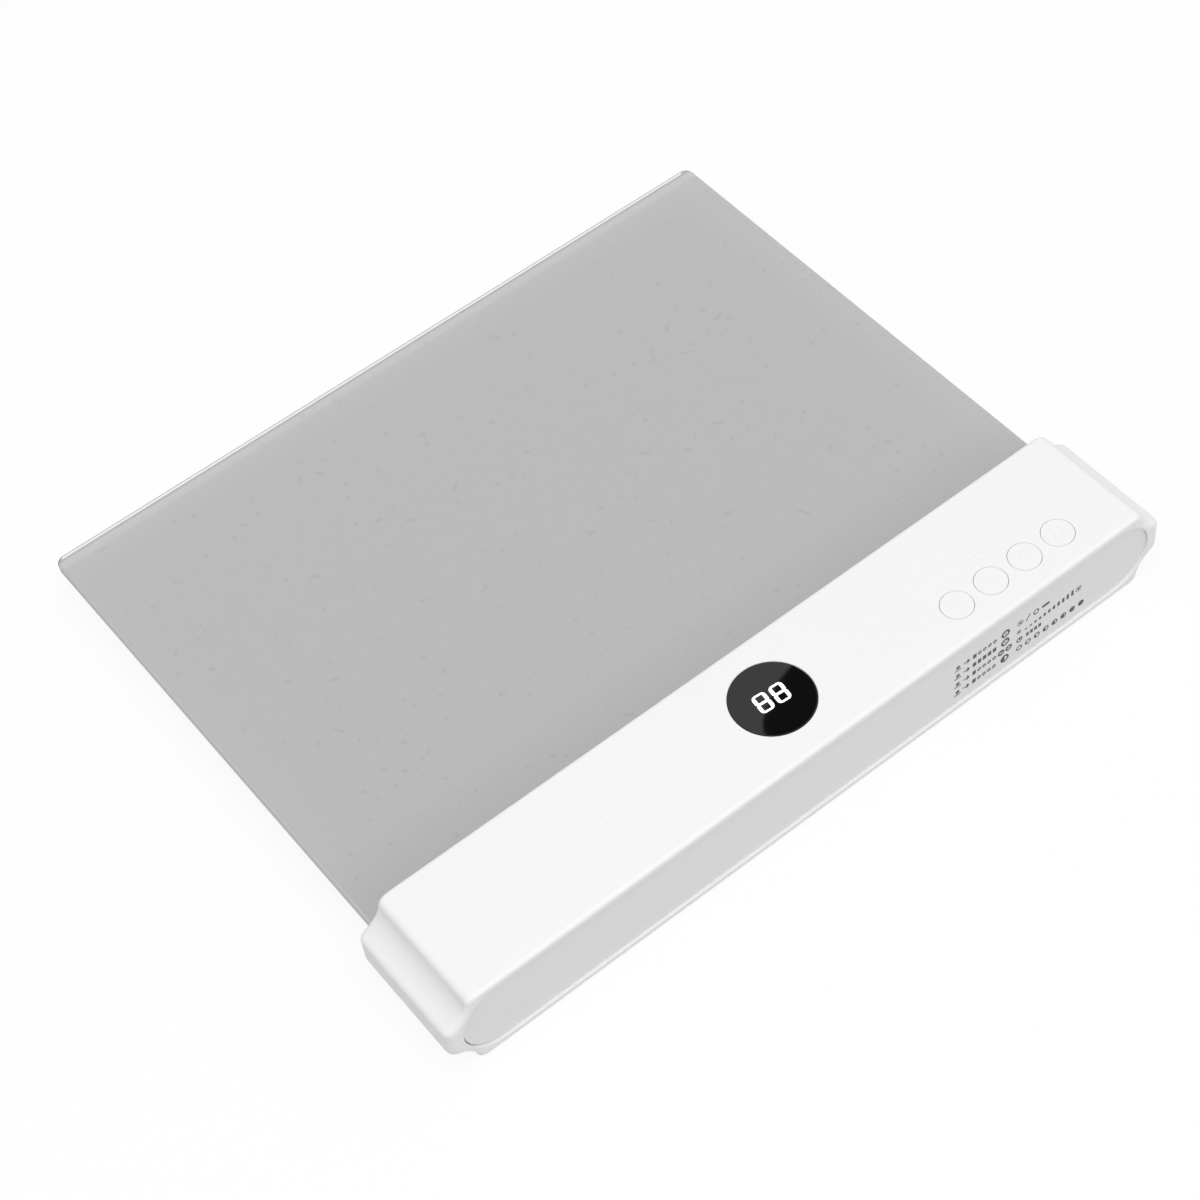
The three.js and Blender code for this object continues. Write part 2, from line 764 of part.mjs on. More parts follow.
// Screw about Z with its head at the given height; turn is 1 with the shank above the head and -1 below it
function screw(x, y, seatZ, headRadius, headHeight, shankRadius, shankLength, turn) {
  const lowHead = Math.min(seatZ, seatZ - turn * headHeight);
  const head = pillar(x, y, lowHead, lowHead + headHeight, headRadius, smallSides);
  const start = Math.min(seatZ - turn * headHeight / 2, seatZ + turn * shankLength);
  const end = Math.max(seatZ - turn * headHeight / 2, seatZ + turn * shankLength);
  const slotZ = seatZ - turn * headHeight;
  const slotDepth = headHeight / 2;
  const slot = block(
    x - headRadius / 2, x + headRadius / 2, y - headRadius / 8, y + headRadius / 8,
    slotZ - slotDepth, slotZ + slotDepth,
  );
  const cross = block(
    x - headRadius / 8, x + headRadius / 8, y - headRadius / 2, y + headRadius / 2,
    slotZ - slotDepth, slotZ + slotDepth,
  );
  return head.add(pillar(x, y, start, end, shankRadius, smallSides / 2)).subtract(slot).subtract(cross);
}

const white = { color: 0xf4f4f2, roughness: 0.45, metalness: 0 };
const greyWhite = { color: 0xe9e9e8, roughness: 0.5, metalness: 0 };
const clear = { color: 0xcfd2d3, roughness: 0.1, metalness: 0 };
const black = { color: 0x101010, roughness: 0.1, metalness: 0 };
const darkPlastic = { color: 0x26262a, roughness: 0.5, metalness: 0 };
const boardGreen = { color: 0x1f5a35, roughness: 0.5, metalness: 0 };
const steel = { color: 0xb8babd, roughness: 0.3, metalness: 1 };
const phosphor = { color: 0xf2dd7a, roughness: 0.5, metalness: 0 };
const wrap = { color: 0x2f6fb5, roughness: 0.4, metalness: 0 };
const redInsulation = { color: 0xb52222, roughness: 0.5, metalness: 0 };

const bar = new THREE.Group();
bar.position.set(0, (bodyDepth - panelReach) / 2, bodyHeight / 2);

function add(name, shape, look, x = 0, y = 0) {
  const mesh = new THREE.Mesh(geometryOf(shape), new THREE.MeshStandardMaterial(look));
  mesh.name = name;
  mesh.position.set(x, y, 0);
  bar.add(mesh);
}

const whole = hollowCase();
add('top_shell', topShell(whole), white);
add('bottom_shell', bottomShell(whole), white);
add('front_plate', frontPlate(), greyWhite);
add('light_panel', lightPanel(), clear);
add('display_window', pillar(0, windowY, windowFloorZ, topZ, windowRadius, largeSides), black);
add('digit_module', block(
  -digitLength / 2, digitLength / 2, windowY - digitDepth / 2, windowY + digitDepth / 2,
  boardTopZ, windowFloorZ - digitGap,
), darkPlastic);

Object.entries(signs).forEach(([name, sign], index) => {
  add(`button_${name}`, buttonCap(sign), white, buttonPlaces[index], buttonY);
  add(`plunger_${name}`, plunger(), darkPlastic, buttonPlaces[index], buttonY);
  add(`switch_${name}`, switchBody(), darkPlastic, buttonPlaces[index], buttonY);
});

add('main_board', mainBoard(), boardGreen);
add('controller_chip', lowChip(controllerShift, controllerLength, controllerDepth), darkPlastic);
add('driver_chip', lowChip(driverShift, driverLength, driverDepth), darkPlastic);
add('battery_socket', block(
  socketStart, socketStart + socketLength, socketFrontY, socketBackY, boardTopZ, boardTopZ + socketHeight,
), white);
add('charge_board', chargeBoard(), boardGreen);
add('charge_chip', chargeChip(), darkPlastic);
add('link_header', linkHeader(), darkPlastic);
add('usb_socket', inlet(), steel);

add('led_board', stripBoard(), white);
for (let index = 0; index < diodeCount; index += 1) {
  add(`led_${String(index + 1).padStart(2, '0')}`, diode(index), phosphor);
}

add('battery_cell', cell(), wrap);
add('tab_positive', cellTab(cellEnd + poleLength), steel);
add('tab_negative', cellTab(cellStart - tabThickness), steel);
add('lead_red', redLead(), redInsulation);
add('lead_black', blackLead(), darkPlastic);
add('strip_lead_red', stripLead(0), redInsulation);
add('strip_lead_black', stripLead(1), darkPlastic);

caseScrewSpots.forEach(({ x, y }, index) => {
  add(`case_screw_${index + 1}`, screw(
    x, y, headSeatZ, caseHeadRadius, caseHeadHeight, caseShankRadius, caseShankLength, 1,
  ), steel);
});
boardScrewSpots.forEach(([x, y], index) => {
  add(`board_screw_${index + 1}`, screw(
    x, y, boardLowZ, boardHeadRadius, boardHeadHeight, boardShankRadius, boardShankLength, 1,
  ), steel);
});
chargeScrewPlaces.forEach((x, index) => {
  add(`charge_screw_${index + 1}`, screw(
    x, inletY, inletLowZ, chargeHeadRadius, chargeHeadHeight, boardShankRadius, chargeShankLength, -1,
  ), steel);
});

const light = new THREE.Group();
light.add(bar);

export default light;
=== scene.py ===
"""Looks of a flat book light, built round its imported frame: a clear light panel held along one edge by a
white bar with a round display window, four push buttons and a printed legend. Everything is in metres, +Z up,
with X along the bar, the panel towards +Y and the buttons at +X."""
import json
import math

import bmesh
import bpy
from mathutils import Matrix, Vector


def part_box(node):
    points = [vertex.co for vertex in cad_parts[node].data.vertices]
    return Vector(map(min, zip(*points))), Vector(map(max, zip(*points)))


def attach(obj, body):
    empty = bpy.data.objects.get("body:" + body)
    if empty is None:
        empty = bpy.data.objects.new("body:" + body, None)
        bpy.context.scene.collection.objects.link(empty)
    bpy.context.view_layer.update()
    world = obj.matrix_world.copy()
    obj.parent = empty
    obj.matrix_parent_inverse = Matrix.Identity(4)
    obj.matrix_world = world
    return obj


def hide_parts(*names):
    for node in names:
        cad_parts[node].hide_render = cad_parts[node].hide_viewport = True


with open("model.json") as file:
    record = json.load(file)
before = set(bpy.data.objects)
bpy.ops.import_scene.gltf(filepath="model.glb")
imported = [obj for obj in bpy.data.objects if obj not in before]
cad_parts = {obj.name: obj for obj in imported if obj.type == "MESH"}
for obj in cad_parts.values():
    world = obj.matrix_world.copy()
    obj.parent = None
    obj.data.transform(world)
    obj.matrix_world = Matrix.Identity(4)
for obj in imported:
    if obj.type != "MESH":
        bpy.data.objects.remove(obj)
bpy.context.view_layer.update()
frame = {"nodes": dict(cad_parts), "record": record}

bl_info = {
    "name": "Flat book light",
    "version": (1, 0, 0),
    "blender": (4, 5, 0),
    "location": "3D View > Sidebar > Book light",
    "description": "Builds the finished pieces of a flat book light round its frame",
    "category": "Object",
}

MM = 0.001
MAIN_BODY = "lamp"
KEYS = ("minus", "plus", "power", "mode")

# Cuts run past the faces that they open by this much
OVER = 1.0 * MM

# Corners closer than this are one corner
WELD = 0.001 * MM

# Edges that turn by more than this stay sharp
SHARP_ANGLE = math.radians(35)

# Camera of the photograph: where it looks from, counted from the middle of the bar's back face, and its tilt
# about its own line of sight
CAMERA_OFFSET = Vector((-218.477, -305.782, 526.162)) * MM
CAMERA_AZIMUTH = math.radians(-31.423)
CAMERA_ELEVATION = math.radians(52.370)
CAMERA_ROLL = math.radians(-8.322)
CAMERA_LENS_MM = 81.884
CAMERA_SENSOR_MM = 36
CAMERA_CLIP = 10 * MM

# Strength of the surroundings for the rays that carry light
WORLD_LIGHT = 0.45

# Soft square lamps: name, place in metres, width in metres and power in watts. Each looks at the origin.
LAMPS = (
    ("lamp_above", (-0.12, -0.4, 1.35), 1.0, 9.9),
    ("lamp_front", (0.1, -1.4, 0.5), 0.8, 3.5),
    ("lamp_right", (1.1, 0.0, 0.9), 0.8, 1.3),
    ("lamp_left", (-0.9, 0.3, 1.2), 0.8, 2.4),
)

# Floor: half its width, and how far its upper and lower faces lie below the face that the bar rests on
FLOOR_REACH = 4.0
FLOOR_TOP = 0.2 * MM
FLOOR_BOTTOM = 20 * MM

# Height of the dark card over the bar's top
CARD_HEIGHT = 250 * MM

# Outline of the dark reflection on the window's plane, in mm from the middle of the bar's back face
CARD_EDGE = (
    (12.6, -11.9), (9.25, -12.75), (4.5, -14.1), (-0.2, -16.6), (-4.75, -19.5), (-6.2, -20.9),
    (-7.25, -22.5), (-8.0, -25.5), (-7.6, -31.0), (13.0, -31.0),
)

# Milky edges of the panel after its clear faces, in the order of its material slots: name and glow. Each glow
# is
# # painted light, stronger or weaker by how light falls on that side
PANEL_EDGE_PAINTED_GLOWS = (("edge_near", 0.33), ("edge_far", 0.64), ("edge_end", 1.15), ("edge_rim", 0.02))
CLEAR, NEAR, FAR, END, RIM = range(5)

# Depths of the rings, besides the rims, in which the bar is drawn: shares of its ears' round seen from above
TURN_SHARES = (0.1, 0.25, 0.5, 1.0)

# Signs of the legend, counted in halves of a sign's height from the start and the middle line of each.
# Tap: place and radius of its dot, then both ends of the stroke below it and of the arrow's three strokes
TAP_DOT_SHARES = (1, 0.25, 0.6)
TAP_STROKE_SHARES = ((0, -0.8, 2, -0.8), (2.8, 0, 4.6, 0), (3.9, 0.7, 4.6, -0.05), (3.9, -0.7, 4.6, 0.05))
# Marks after a tap: start and pitch, width and height of a filled one, middle and radius of an open one
MARK_ROW_SHARES = (5.7, 1.6)
MARK_SHARES = (1.1, 1.5)
OPEN_MARK_SHARES = (0.55, 0.6)
# Light row: both ends of the stroke, place and radius of the ring, start, width and height of the block
SLASH_SHARES = (1.9, 3.1)
OFF_RING_SHARES = (5.1, 0.95)
OFF_BLOCK_SHARES = (7, 2.4, 0.9)
# Dimming row: place and size of the small lamp, start, pitch and width of the steps, least height and growth
# of a step, and place of the large lamp
SMALL_SUN_SHARES = (-0.3, 0.7)
STEP_SHARES = (1.7, 1.5, 0.75)
STEP_HEIGHT_SHARES = (0.5, 1.5)
LARGE_SUN_SHARE = 19.1
# Timer row: start, pitch, width and height of the blocks. Tone row: pitch and radius of the discs
TIMER_BLOCK_SHARES = (2.1, 1.35, 0.9, 1.3)
TONE_DISC_SHARES = (2.9, 0.95)

# Two small roundels side by side: place and radius of each, in radii of a single one
PAIR_SHARES = (0.9, 0.78)


def centre(node):
    """Middle of a frame node's box."""
    low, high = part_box(node)
    return (low + high) / 2


SHELL_LOW, SHELL_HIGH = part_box("top_shell")
PARTING_Z = SHELL_LOW.z
TOP_Z = SHELL_HIGH.z
FLOOR_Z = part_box("bottom_shell")[0].z
FRONT_Y = SHELL_LOW.y
BACK_Y = SHELL_HIGH.y
EAR_X = SHELL_HIGH.x
PLATE_LOW, PLATE_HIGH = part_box("front_plate")
PANEL_LOW, PANEL_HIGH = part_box("light_panel")
PANE_LOW, PANE_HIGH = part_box("display_window")
PANE_PLACE = centre("display_window")
BOARD_LOW, BOARD_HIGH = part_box("main_board")
STRIP_LOW, STRIP_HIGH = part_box("led_board")
CELL_LOW, CELL_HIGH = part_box("battery_cell")
INLET_LOW, INLET_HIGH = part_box("usb_socket")
INLET_PLACE = centre("usb_socket")


def length(name, description, default):
    """A size that a user may change."""
    return bpy.props.FloatProperty(
        name=name, description=description, default=default, min=0, precision=5, unit="LENGTH",
        subtype="DISTANCE",
    )


def angle(name, description, default):
    """An angle that a user may change."""
    return bpy.props.FloatProperty(name=name, description=description, default=default, subtype="ANGLE")


def colour(name, description, default):
    """A colour that a user may change."""
    return bpy.props.FloatVectorProperty(
        name=name, description=description, default=default, size=4, min=0, max=1, subtype="COLOR",
    )


class HousingSizes(bpy.types.PropertyGroup):
    """Sizes of the two shells of the bar."""

    wall: length("Wall", "Thickness of the shells", 2 * MM)
    edge_round: length("Edge round", "Radius of the front and back edges", 1 * MM)
    corner_round: length("Corner round", "Drop of the round between top and flank", 1.6 * MM)
    corner_lean: length("Corner lean", "How far the flank's top leans out", 0.8 * MM)
    flank_inset: length("Flank inset", "Reach of the hollow flank's middle", 1.6 * MM)
    flank_dip: length("Flank dip", "Height of the hollow flank's middle", 7.3 * MM)
    ear_reach: length("Ear reach", "How far the ears stand out from the bar", 7.4 * MM)
    ear_shoulder: length("Ear shoulder", "Height at which an ear's tip starts to turn", 5 * MM)
    ear_turn: length("Ear turn", "Height that the tip's curve is drawn towards", 4.3 * MM)
    ear_tip: length("Ear tip", "Half the height of an ear's flat tip", 3.2 * MM)
    ear_round: length("Ear round", "Depth of the tip's curve", 1.4 * MM)
    ear_plan: length("Ear plan round", "Radius of the ears' corners seen from above", 2.4 * MM)
    top_plan: length("Top plan round", "Radius of the top's back corners seen from above", 1.8 * MM)
    recess_gap: length("Recess gap", "From the frame's plate to the recess's edge", 0.15 * MM)
    recess_lip: length("Recess lip", "Radius of the recess's lip", 0.13 * MM)
    plate_thickness: length("Plate thickness", "Thickness of the front plate", 1.2 * MM)
    plate_wall: length("Plate wall", "Wall behind the front plate", 1.5 * MM)
    hole_lip: length("Hole lip", "Radius of the lips of holes and slots", 0.18 * MM)
    parting: length("Parting groove", "Depth of the groove between the shells", 0.13 * MM)
    slot_gap: length("Slot gap", "Clearance above and below the panel", 0.2 * MM)
    hair_width: length("Hairline width", "Width of the grooves in the top", 0.45 * MM)
    hair_depth: length("Hairline depth", "Depth of the grooves in the top", 0.22 * MM)
    hair_start: length("Hairline start", "From the window to the near end of a groove", 12.75 * MM)
    hair_end: length("Hairline end", "From the bar's square end to the far end of a groove", 35.5 * MM)
    hair_shift: length("Hairline shift", "How far the grooves lie before the top's middle", 0.3 * MM)


class FixingSizes(bpy.types.PropertyGroup):
    """Sizes of the wells, bosses, posts and supports inside the shells."""

    well_radius: length("Well radius", "Radius of the screw wells", 2.6 * MM)
    well_wall: length("Well wall", "Wall of the screw wells", 1.2 * MM)
    head_height: length("Head height", "Height of the case screws' heads", 1.6 * MM)
    shank_radius: length("Shank radius", "Radius of the holes for the case screws", 1.5 * MM)
    boss_radius: length("Boss radius", "Radius of the screw bosses", 2.6 * MM)
    boss_gap: length("Boss gap", "Clearance of the bosses to the wells or the panel", 0.15 * MM)
    pilot_radius: length("Pilot radius", "Radius of the holes that the case screws bite into", 1.25 * MM)
    pilot_end: length("Pilot end", "Room past a screw's tip", 0.1 * MM)
    standoff_radius: length("Standoff radius", "Radius of the main board's standoffs", 2.2 * MM)
    post_radius: length("Post radius", "Radius of the charging board's posts", 2 * MM)
    post_pilot: length("Post pilot", "Depth of the holes in the posts", 5 * MM)
    board_pilot: length("Board pilot", "Radius of the holes that the board screws bite into", 0.9 * MM)
    module_gap: length("Module gap", "Clearance round the digit module", 0.3 * MM)
    outer_rest: length("Outer rest", "From the middle to an outer rest of the diode strip", 95 * MM)
    left_rest: length("Left rest", "From the middle to the strip's inner rest on the left", 14 * MM)
    right_rest: length("Right rest", "From the middle to the strip's inner rest on the right", 40 * MM)
    rest_reach: length("Rest reach", "Half the width of a rest", 3 * MM)
    rest_wall: length("Rest wall", "Thickness of a rest", 1.2 * MM)
    rest_gap: length("Rest gap", "Clearance of a rest to the strip", 0.2 * MM)
    rest_step: length("Rest step", "How far a rest stays before the strip's far face", 0.8 * MM)
    cell_gap: length("Cell gap", "Clearance round the cell in its cradle", 0.25 * MM)
    cradle_rise: length("Cradle rise", "Height of the cradle above the floor's inner face", 6.3 * MM)
    cradle_reach: length("Cradle reach", "Half the thickness of a cradle rib", 0.8 * MM)
    cradle_left: length("Cradle left", "From the cell's left end to the first rib", 7 * MM)
    cradle_right: length("Cradle right", "From the cell's right end to the last rib", 8 * MM)


class PlateSizes(bpy.types.PropertyGroup):
    """Sizes of the front plate and its legend."""

    fit: length("Fit", "Growth of the plate that closes its gap", 0.14 * MM)
    end_gap: length("End gap", "Gap that stays open at the plate's left end", 0.32 * MM)
    rim: length("Rim", "Radius of the plate's front edge", 0.06 * MM)
    peg_radius: length("Peg radius", "Radius of the plate's pegs", 1.5 * MM)
    peg_rise: length("Peg rise", "Height of the peg rows above and below the middle", 5.5 * MM)
    peg_inset: length("Peg inset", "From the bar's square end to the first peg", 12 * MM)
    peg_pitch: length("Peg pitch", "From one peg to the next", 58 * MM)
    peg_rim: length("Peg rim", "Radius of the pegs' ends", 0.2 * MM)
    ink: length("Ink", "Thickness of the printed legend", 0.02 * MM)
    stroke: length("Stroke", "Width of the legend's lines", 0.36 * MM)
    mark: length("Mark height", "Height of the legend's signs", 2 * MM)
    first_row: length("First row", "Height of the legend's first row above the plate's middle", 3.25 * MM)
    row_pitch: length("Row pitch", "From one row of the legend to the next", 3.3 * MM)
    press_column: length("Press column", "Where the legend's first column starts", 41.1 * MM)
    key_column: length("Key column", "Where the round signs stand", 57.2 * MM)
    key_radius: length("Key radius", "Radius of the round signs", 1.35 * MM)
    effect_column: length("Effect column", "Where the last column starts", 60.9 * MM)


class PanelSizes(bpy.types.PropertyGroup):
    """Sizes of the clear light panel."""

    corner: length("Corner", "Radius of the two far corners", 2.5 * MM)
    upper_rim: length("Upper rim", "Radius of the panel's upper edges", 0.7 * MM)
    lower_rim: length("Lower rim", "Radius of the panel's lower edges", 0.3 * MM)
    screw_hole: length("Screw hole", "Radius of the holes in the tongue", 1.5 * MM)


class WindowSizes(bpy.types.PropertyGroup):
    """Sizes of the display window and its digits."""

    rim: length("Rim", "Radius of the pane's edge", 0.2 * MM)
    sink: length("Sink", "How far the pane lies below the top face", 0.04 * MM)
    gap: length("Gap", "Clearance round the pane", 0.12 * MM)
    digit_width: length("Digit width", "Width of a digit", 3.8 * MM)
    digit_height: length("Digit height", "Height of a digit", 5.4 * MM)
    digit_corner: length("Digit corner", "Radius of a digit's corners", 1.1 * MM)
    digit_pitch: length("Digit pitch", "From one digit to the next", 4.75 * MM)
    eye_width: length("Eye width", "Width of the two openings in a digit", 1.95 * MM)
    eye_height: length("Eye height", "Height of the two openings in a digit", 1.8 * MM)
    eye_pitch: length("Eye pitch", "From one opening to the next", 2.5 * MM)
    eye_corner: length("Eye corner", "Radius of an opening's corners", 0.12 * MM)
    notch: length("Notch", "Depth of the notches at a digit's sides", 0.22 * MM)
    digit_shift: length("Digit shift", "How far the digits stand above the pane's middle", 0.3 * MM)
    segment_rise: length("Segment rise", "How far the digits stand on the pane", 0.02 * MM)
    digit_turn: angle("Digit turn", "Turn of the pair of digits", math.radians(-4.5))
    digit_slant: angle("Digit slant", "Lean of each digit", math.radians(2))


class ButtonSizes(bpy.types.PropertyGroup):
    """Sizes of the four caps."""

    radius: length("Radius", "Radius of a cap", 4.08 * MM)
    gap: length("Gap", "Clearance round a cap", 0.1 * MM)
    rim: length("Rim", "Radius of a cap's edge", 0.15 * MM)
    lip: length("Lip", "Radius of the lip of a cap's hole", 0.15 * MM)
    flange_thickness: length("Flange thickness", "Thickness of the flange below the top", 0.8 * MM)
    flange_gap: length("Flange gap", "Clearance of the flange to the shell", 0.4 * MM)
    stem_radius: length("Stem radius", "Radius of the stem", 1.6 * MM)
    sign_depth: length("Sign depth", "Depth of the signs in the caps", 0.1 * MM)
    sign_line: length("Sign line", "Width of the signs' lines", 0.4 * MM)
    sign_reach: length("Sign reach", "Half the size of a sign", 1.6 * MM)
    sign_corner: length("Sign corner", "Radius of the ends of the signs' lines", 0.1 * MM)


class FinishColours(bpy.types.PropertyGroup):
    """Colours of the finishes."""

    shell: colour("Shell", "Moulded shells and caps", (0.88, 0.88, 0.875, 1))
    plate: colour("Plate", "Front plate", (0.82, 0.82, 0.82, 1))
    ink: colour("Ink", "Printed legend", (0.07, 0.07, 0.073, 1))
    panel: colour("Panel", "Tint of the clear panel", (0.512, 0.512, 0.512, 1))
    panel_edge: colour("Panel edge", "Milky edges of the panel", (0.22, 0.22, 0.22, 1))
    window: colour("Window", "Display window", (0.004, 0.004, 0.0045, 1))
    lit: colour("Lit", "Lit segments of the digits", (0.96, 0.98, 1.0, 1))
    floor: colour("Floor", "Floor of the stage", (0.93, 0.93, 0.93, 1))


class InnerColours(bpy.types.PropertyGroup):
    """Colours of the pieces inside the bar."""

    dark: colour("Dark moulding", "Chips, switches, plungers and digit module", (0.018, 0.018, 0.02, 1))
    black_lead: colour("Black lead", "Insulation of the black leads", (0.012, 0.012, 0.013, 1))
    red_lead: colour("Red lead", "Insulation of the red leads", (0.5, 0.02, 0.02, 1))
    board: colour("Board", "Solder mask of the circuit boards", (0.02, 0.12, 0.045, 1))
    strip: colour("Strip", "Solder mask of the diode strip", (0.6, 0.6, 0.58, 1))
    nylon: colour("Nylon", "Socket of the battery's leads", (0.75, 0.73, 0.66, 1))
    gel: colour("Gel", "Phosphor gel of the diodes", (0.85, 0.65, 0.14, 1))
    wrap: colour("Wrap", "Shrink wrap of the cell", (0.02, 0.12, 0.42, 1))
    nickel: colour("Nickel", "End tabs of the cell", (0.62, 0.6, 0.56, 1))
    steel: colour("Steel", "Shell of the charging inlet", (0.66, 0.67, 0.68, 1))
    zinc: colour("Zinc", "Plating of the screws", (0.6, 0.61, 0.62, 1))


class Field:
    """A shader socket that takes part in Python sums: each operator adds one Math node."""

    def __init__(self, surface, socket):
        self.surface = surface
        self.socket = socket

    def sum_of(self, operation, first, second=0.0):
        return self.surface.node("ShaderNodeMath", {"operation": operation}, {0: first, 1: second})

    def output(self, name):
        """Another output of the node that this field comes from."""
        return Field(self.surface, self.socket.node.outputs[name])

    def __add__(self, other):
        return self.sum_of("ADD", self, other)

    def __radd__(self, other):
        return self.sum_of("ADD", other, self)

    def __sub__(self, other):
        return self.sum_of("SUBTRACT", self, other)

    def __rsub__(self, other):
        return self.sum_of("SUBTRACT", other, self)

    def __mul__(self, other):
        return self.sum_of("MULTIPLY", self, other)

    def __rmul__(self, other):
        return self.sum_of("MULTIPLY", other, self)

    def __gt__(self, other):
        return self.sum_of("GREATER_THAN", self, other)

    def __lt__(self, other):
        return self.sum_of("LESS_THAN", self, other)

    def fraction(self):
        return self.sum_of("FRACT", self)

    def at_most(self, top):
        return self.sum_of("MINIMUM", self, top)


class Surface:
    """The nodes of a new material, or of the world."""

    def __init__(self, name, world=None):
        self.owner = world or bpy.data.materials.new(name)
        self.owner.use_nodes = True
        self.tree = self.owner.node_tree
        self.tree.nodes.clear()

    def node(self, kind, settings=None, sockets=None, output=0):
        """Adds a node: its settings first, then the values or links of its sockets."""
        made = self.tree.nodes.new(kind)
        for key, value in (settings or {}).items():
            setattr(made, key, value)
        for key, value in (sockets or {}).items():
            if isinstance(value, Field):
                self.tree.links.new(value.socket, made.inputs[key])
            else:
                made.inputs[key].default_value = value
        return Field(self, made.outputs[output]) if len(made.outputs) else made

    def place(self):
        """Position on the object, in metres."""
        return self.node("ShaderNodeTexCoord", output=3)

    def noise(self, grain, detail=2.0, stretch=None):
        """Noise from 0 to 1 whose lumps are about one grain wide, stretched along the axes if asked."""
        where = self.place()
        if stretch:
            where = self.node("ShaderNodeVectorMath", {"operation": "MULTIPLY"}, {0: where, 1: stretch})
        return self.node("ShaderNodeTexNoise", None, {"Vector": where, "Scale": 1 / grain, "Detail": detail})

    def mix(self, mask, low, high):
        """Colour between low and high."""
        return self.node("ShaderNodeMix", {"data_type": "RGBA"}, {0: mask, 6: low, 7: high}, output=2)

    def tint(self, mask, tone, low=1.0, high=1.0):
        """The tone at a share of its strength that runs from low to high with the mask."""
        return self.mix(mask, shaded(tone, low), shaded(tone, high))

    def ramp(self, value, start, end):
        """Smooth rise from 0 at the start to 1 at the end."""
        return self.node("ShaderNodeMapRange", {"interpolation_type": "SMOOTHSTEP"}, {
            "Value": value, "From Min": start, "From Max": end,
        })

    def bump(self, height, depth):
        """Normal of a surface that rises by up to this depth with the height."""
        return self.node("ShaderNodeBump", sockets={"Height": height, "Distance": depth, "Strength": 1.0})

    def shade(self, **sockets):
        """Puts the Principled shader in, with its sockets named as words joined by underscores."""
        named = {key.replace("_", " "): value for key, value in sockets.items()}
        return self.finish(self.node("ShaderNodeBsdfPrincipled", sockets=named))

    def finish(self, shader):
        """Ends the nodes of a material in this shader."""
        self.node("ShaderNodeOutputMaterial", sockets={"Surface": shader})
        return self.owner


WHITE = (1, 1, 1, 1)


def shaded(tone, share):
    """The same colour at a share of its strength."""
    return (tone[0] * share, tone[1] * share, tone[2] * share, 1)


def moulded(name, tone, grain=0.35 * MM, depth=0.004 * MM, roughness=0.42, spread=0.06, cloud_share=0.985):
    """Satin moulded plastic: a fine tool grain, a faint cloudiness and a slightly uneven polish."""
    surface = Surface(name)
    clouds = surface.noise(grain=24 * MM, detail=3.0)
    smears = surface.noise(grain=7 * MM)
    return surface.shade(
        Base_Color=surface.tint(clouds, tone, low=cloud_share),
        Roughness=smears * spread + (roughness - spread / 2),
        IOR=1.5,
        Normal=surface.bump(surface.noise(grain), depth),
    )


def clear_acrylic(name, tone, pitch=1.1 * MM, frost=0.04, bar_shade_share=0.88, bar_shade_reach=26 * MM):
    """Clear tinted acrylic with rows of tiny light-guide dots and a few specks of dust. It has painted shade
    near the bar, standing in for the bar's reflection, and on its upper face a painted dark band and a
    painted light band along the far edge, in place of the lines that refraction draws there."""
    surface = Surface(name)
    edge = PANEL_HIGH.y
    dark_start, dark_end, dark_loss = edge - 2.5 * MM, edge - 1.3 * MM, 0.62
    light_start, light_end, light_gain = edge - 5.5 * MM, edge - 2.8 * MM, 0.27
    band_end = edge - 1.2 * MM
    dot_share, dot_loss = 0.13, 0.03
    speck_grain, speck_level, speck_loss = 2.2 * MM, 0.795, 0.1
    # The tint is mixed from a stronger tone, so that the painted light band has room to rise above it
    room = 0.75
    where = surface.node("ShaderNodeSeparateXYZ", sockets={0: surface.place()})
    depth = where.output("Y")
    upper = where.output("Z") > (PANEL_LOW.z + PANEL_HIGH.z) / 2
    # Painted light and shade in the base colour: a light and a dark band along the far edge, and painted
    # shade near the bar
    painted_light_band = surface.ramp(depth, light_start, light_end) * light_gain
    painted_dark_band = surface.ramp(depth, dark_start, dark_end) * dark_loss
    painted_bar_shade = surface.ramp(depth, BACK_Y, BACK_Y + bar_shade_reach) * (1 - bar_shade_share) + bar_shade_share
    across = (where * (1 / pitch)).fraction() - 0.5
    along = (depth * (1 / pitch)).fraction() - 0.5
    dots = (across * across + along * along) < dot_share * dot_share
    specks = surface.noise(speck_grain, detail=0.0) > speck_level
    painted_bands = (painted_light_band - painted_dark_band) * (depth < band_end)
    share = painted_bar_shade - dots * dot_loss + (painted_bands - specks * speck_loss) * upper
    return surface.shade(
        Base_Color=surface.tint(share * room, tone, low=0.0, high=1 / room),
        Roughness=dots * frost + specks * frost,
        Transmission_Weight=1.0,
        IOR=1.49,
    )


def sawn_edge_painted_glow(name, tone, glow, glow_share=0.95):
    """Sawn and rounded edge of the acrylic, milky, with a painted glow: its emission lightens the edge in
    place of the studio light that falls on and through it.
    """
    surface = Surface(name)
    marks = surface.noise(grain=0.3 * MM, detail=3.0)
    # Painted light: the emission is a glow set for each side, not light from the strip
    return surface.shade(
        Base_Color=surface.tint(marks, tone, low=0.9), Roughness=marks * 0.1 + 0.4, Specular_IOR_Level=0.0,
        Emission_Color=surface.tint(marks, WHITE, low=glow_share), Emission_Strength=glow,
    )


def glossy_black(name, tone, polish=0.02):
    """Polished black pane with faint polishing haze."""
    surface = Surface(name)
    haze = surface.noise(grain=3 * MM, detail=4.0)
    return surface.shade(
        Base_Color=surface.tint(haze, tone, high=1.5), Roughness=haze * polish + polish, IOR=1.5,
    )


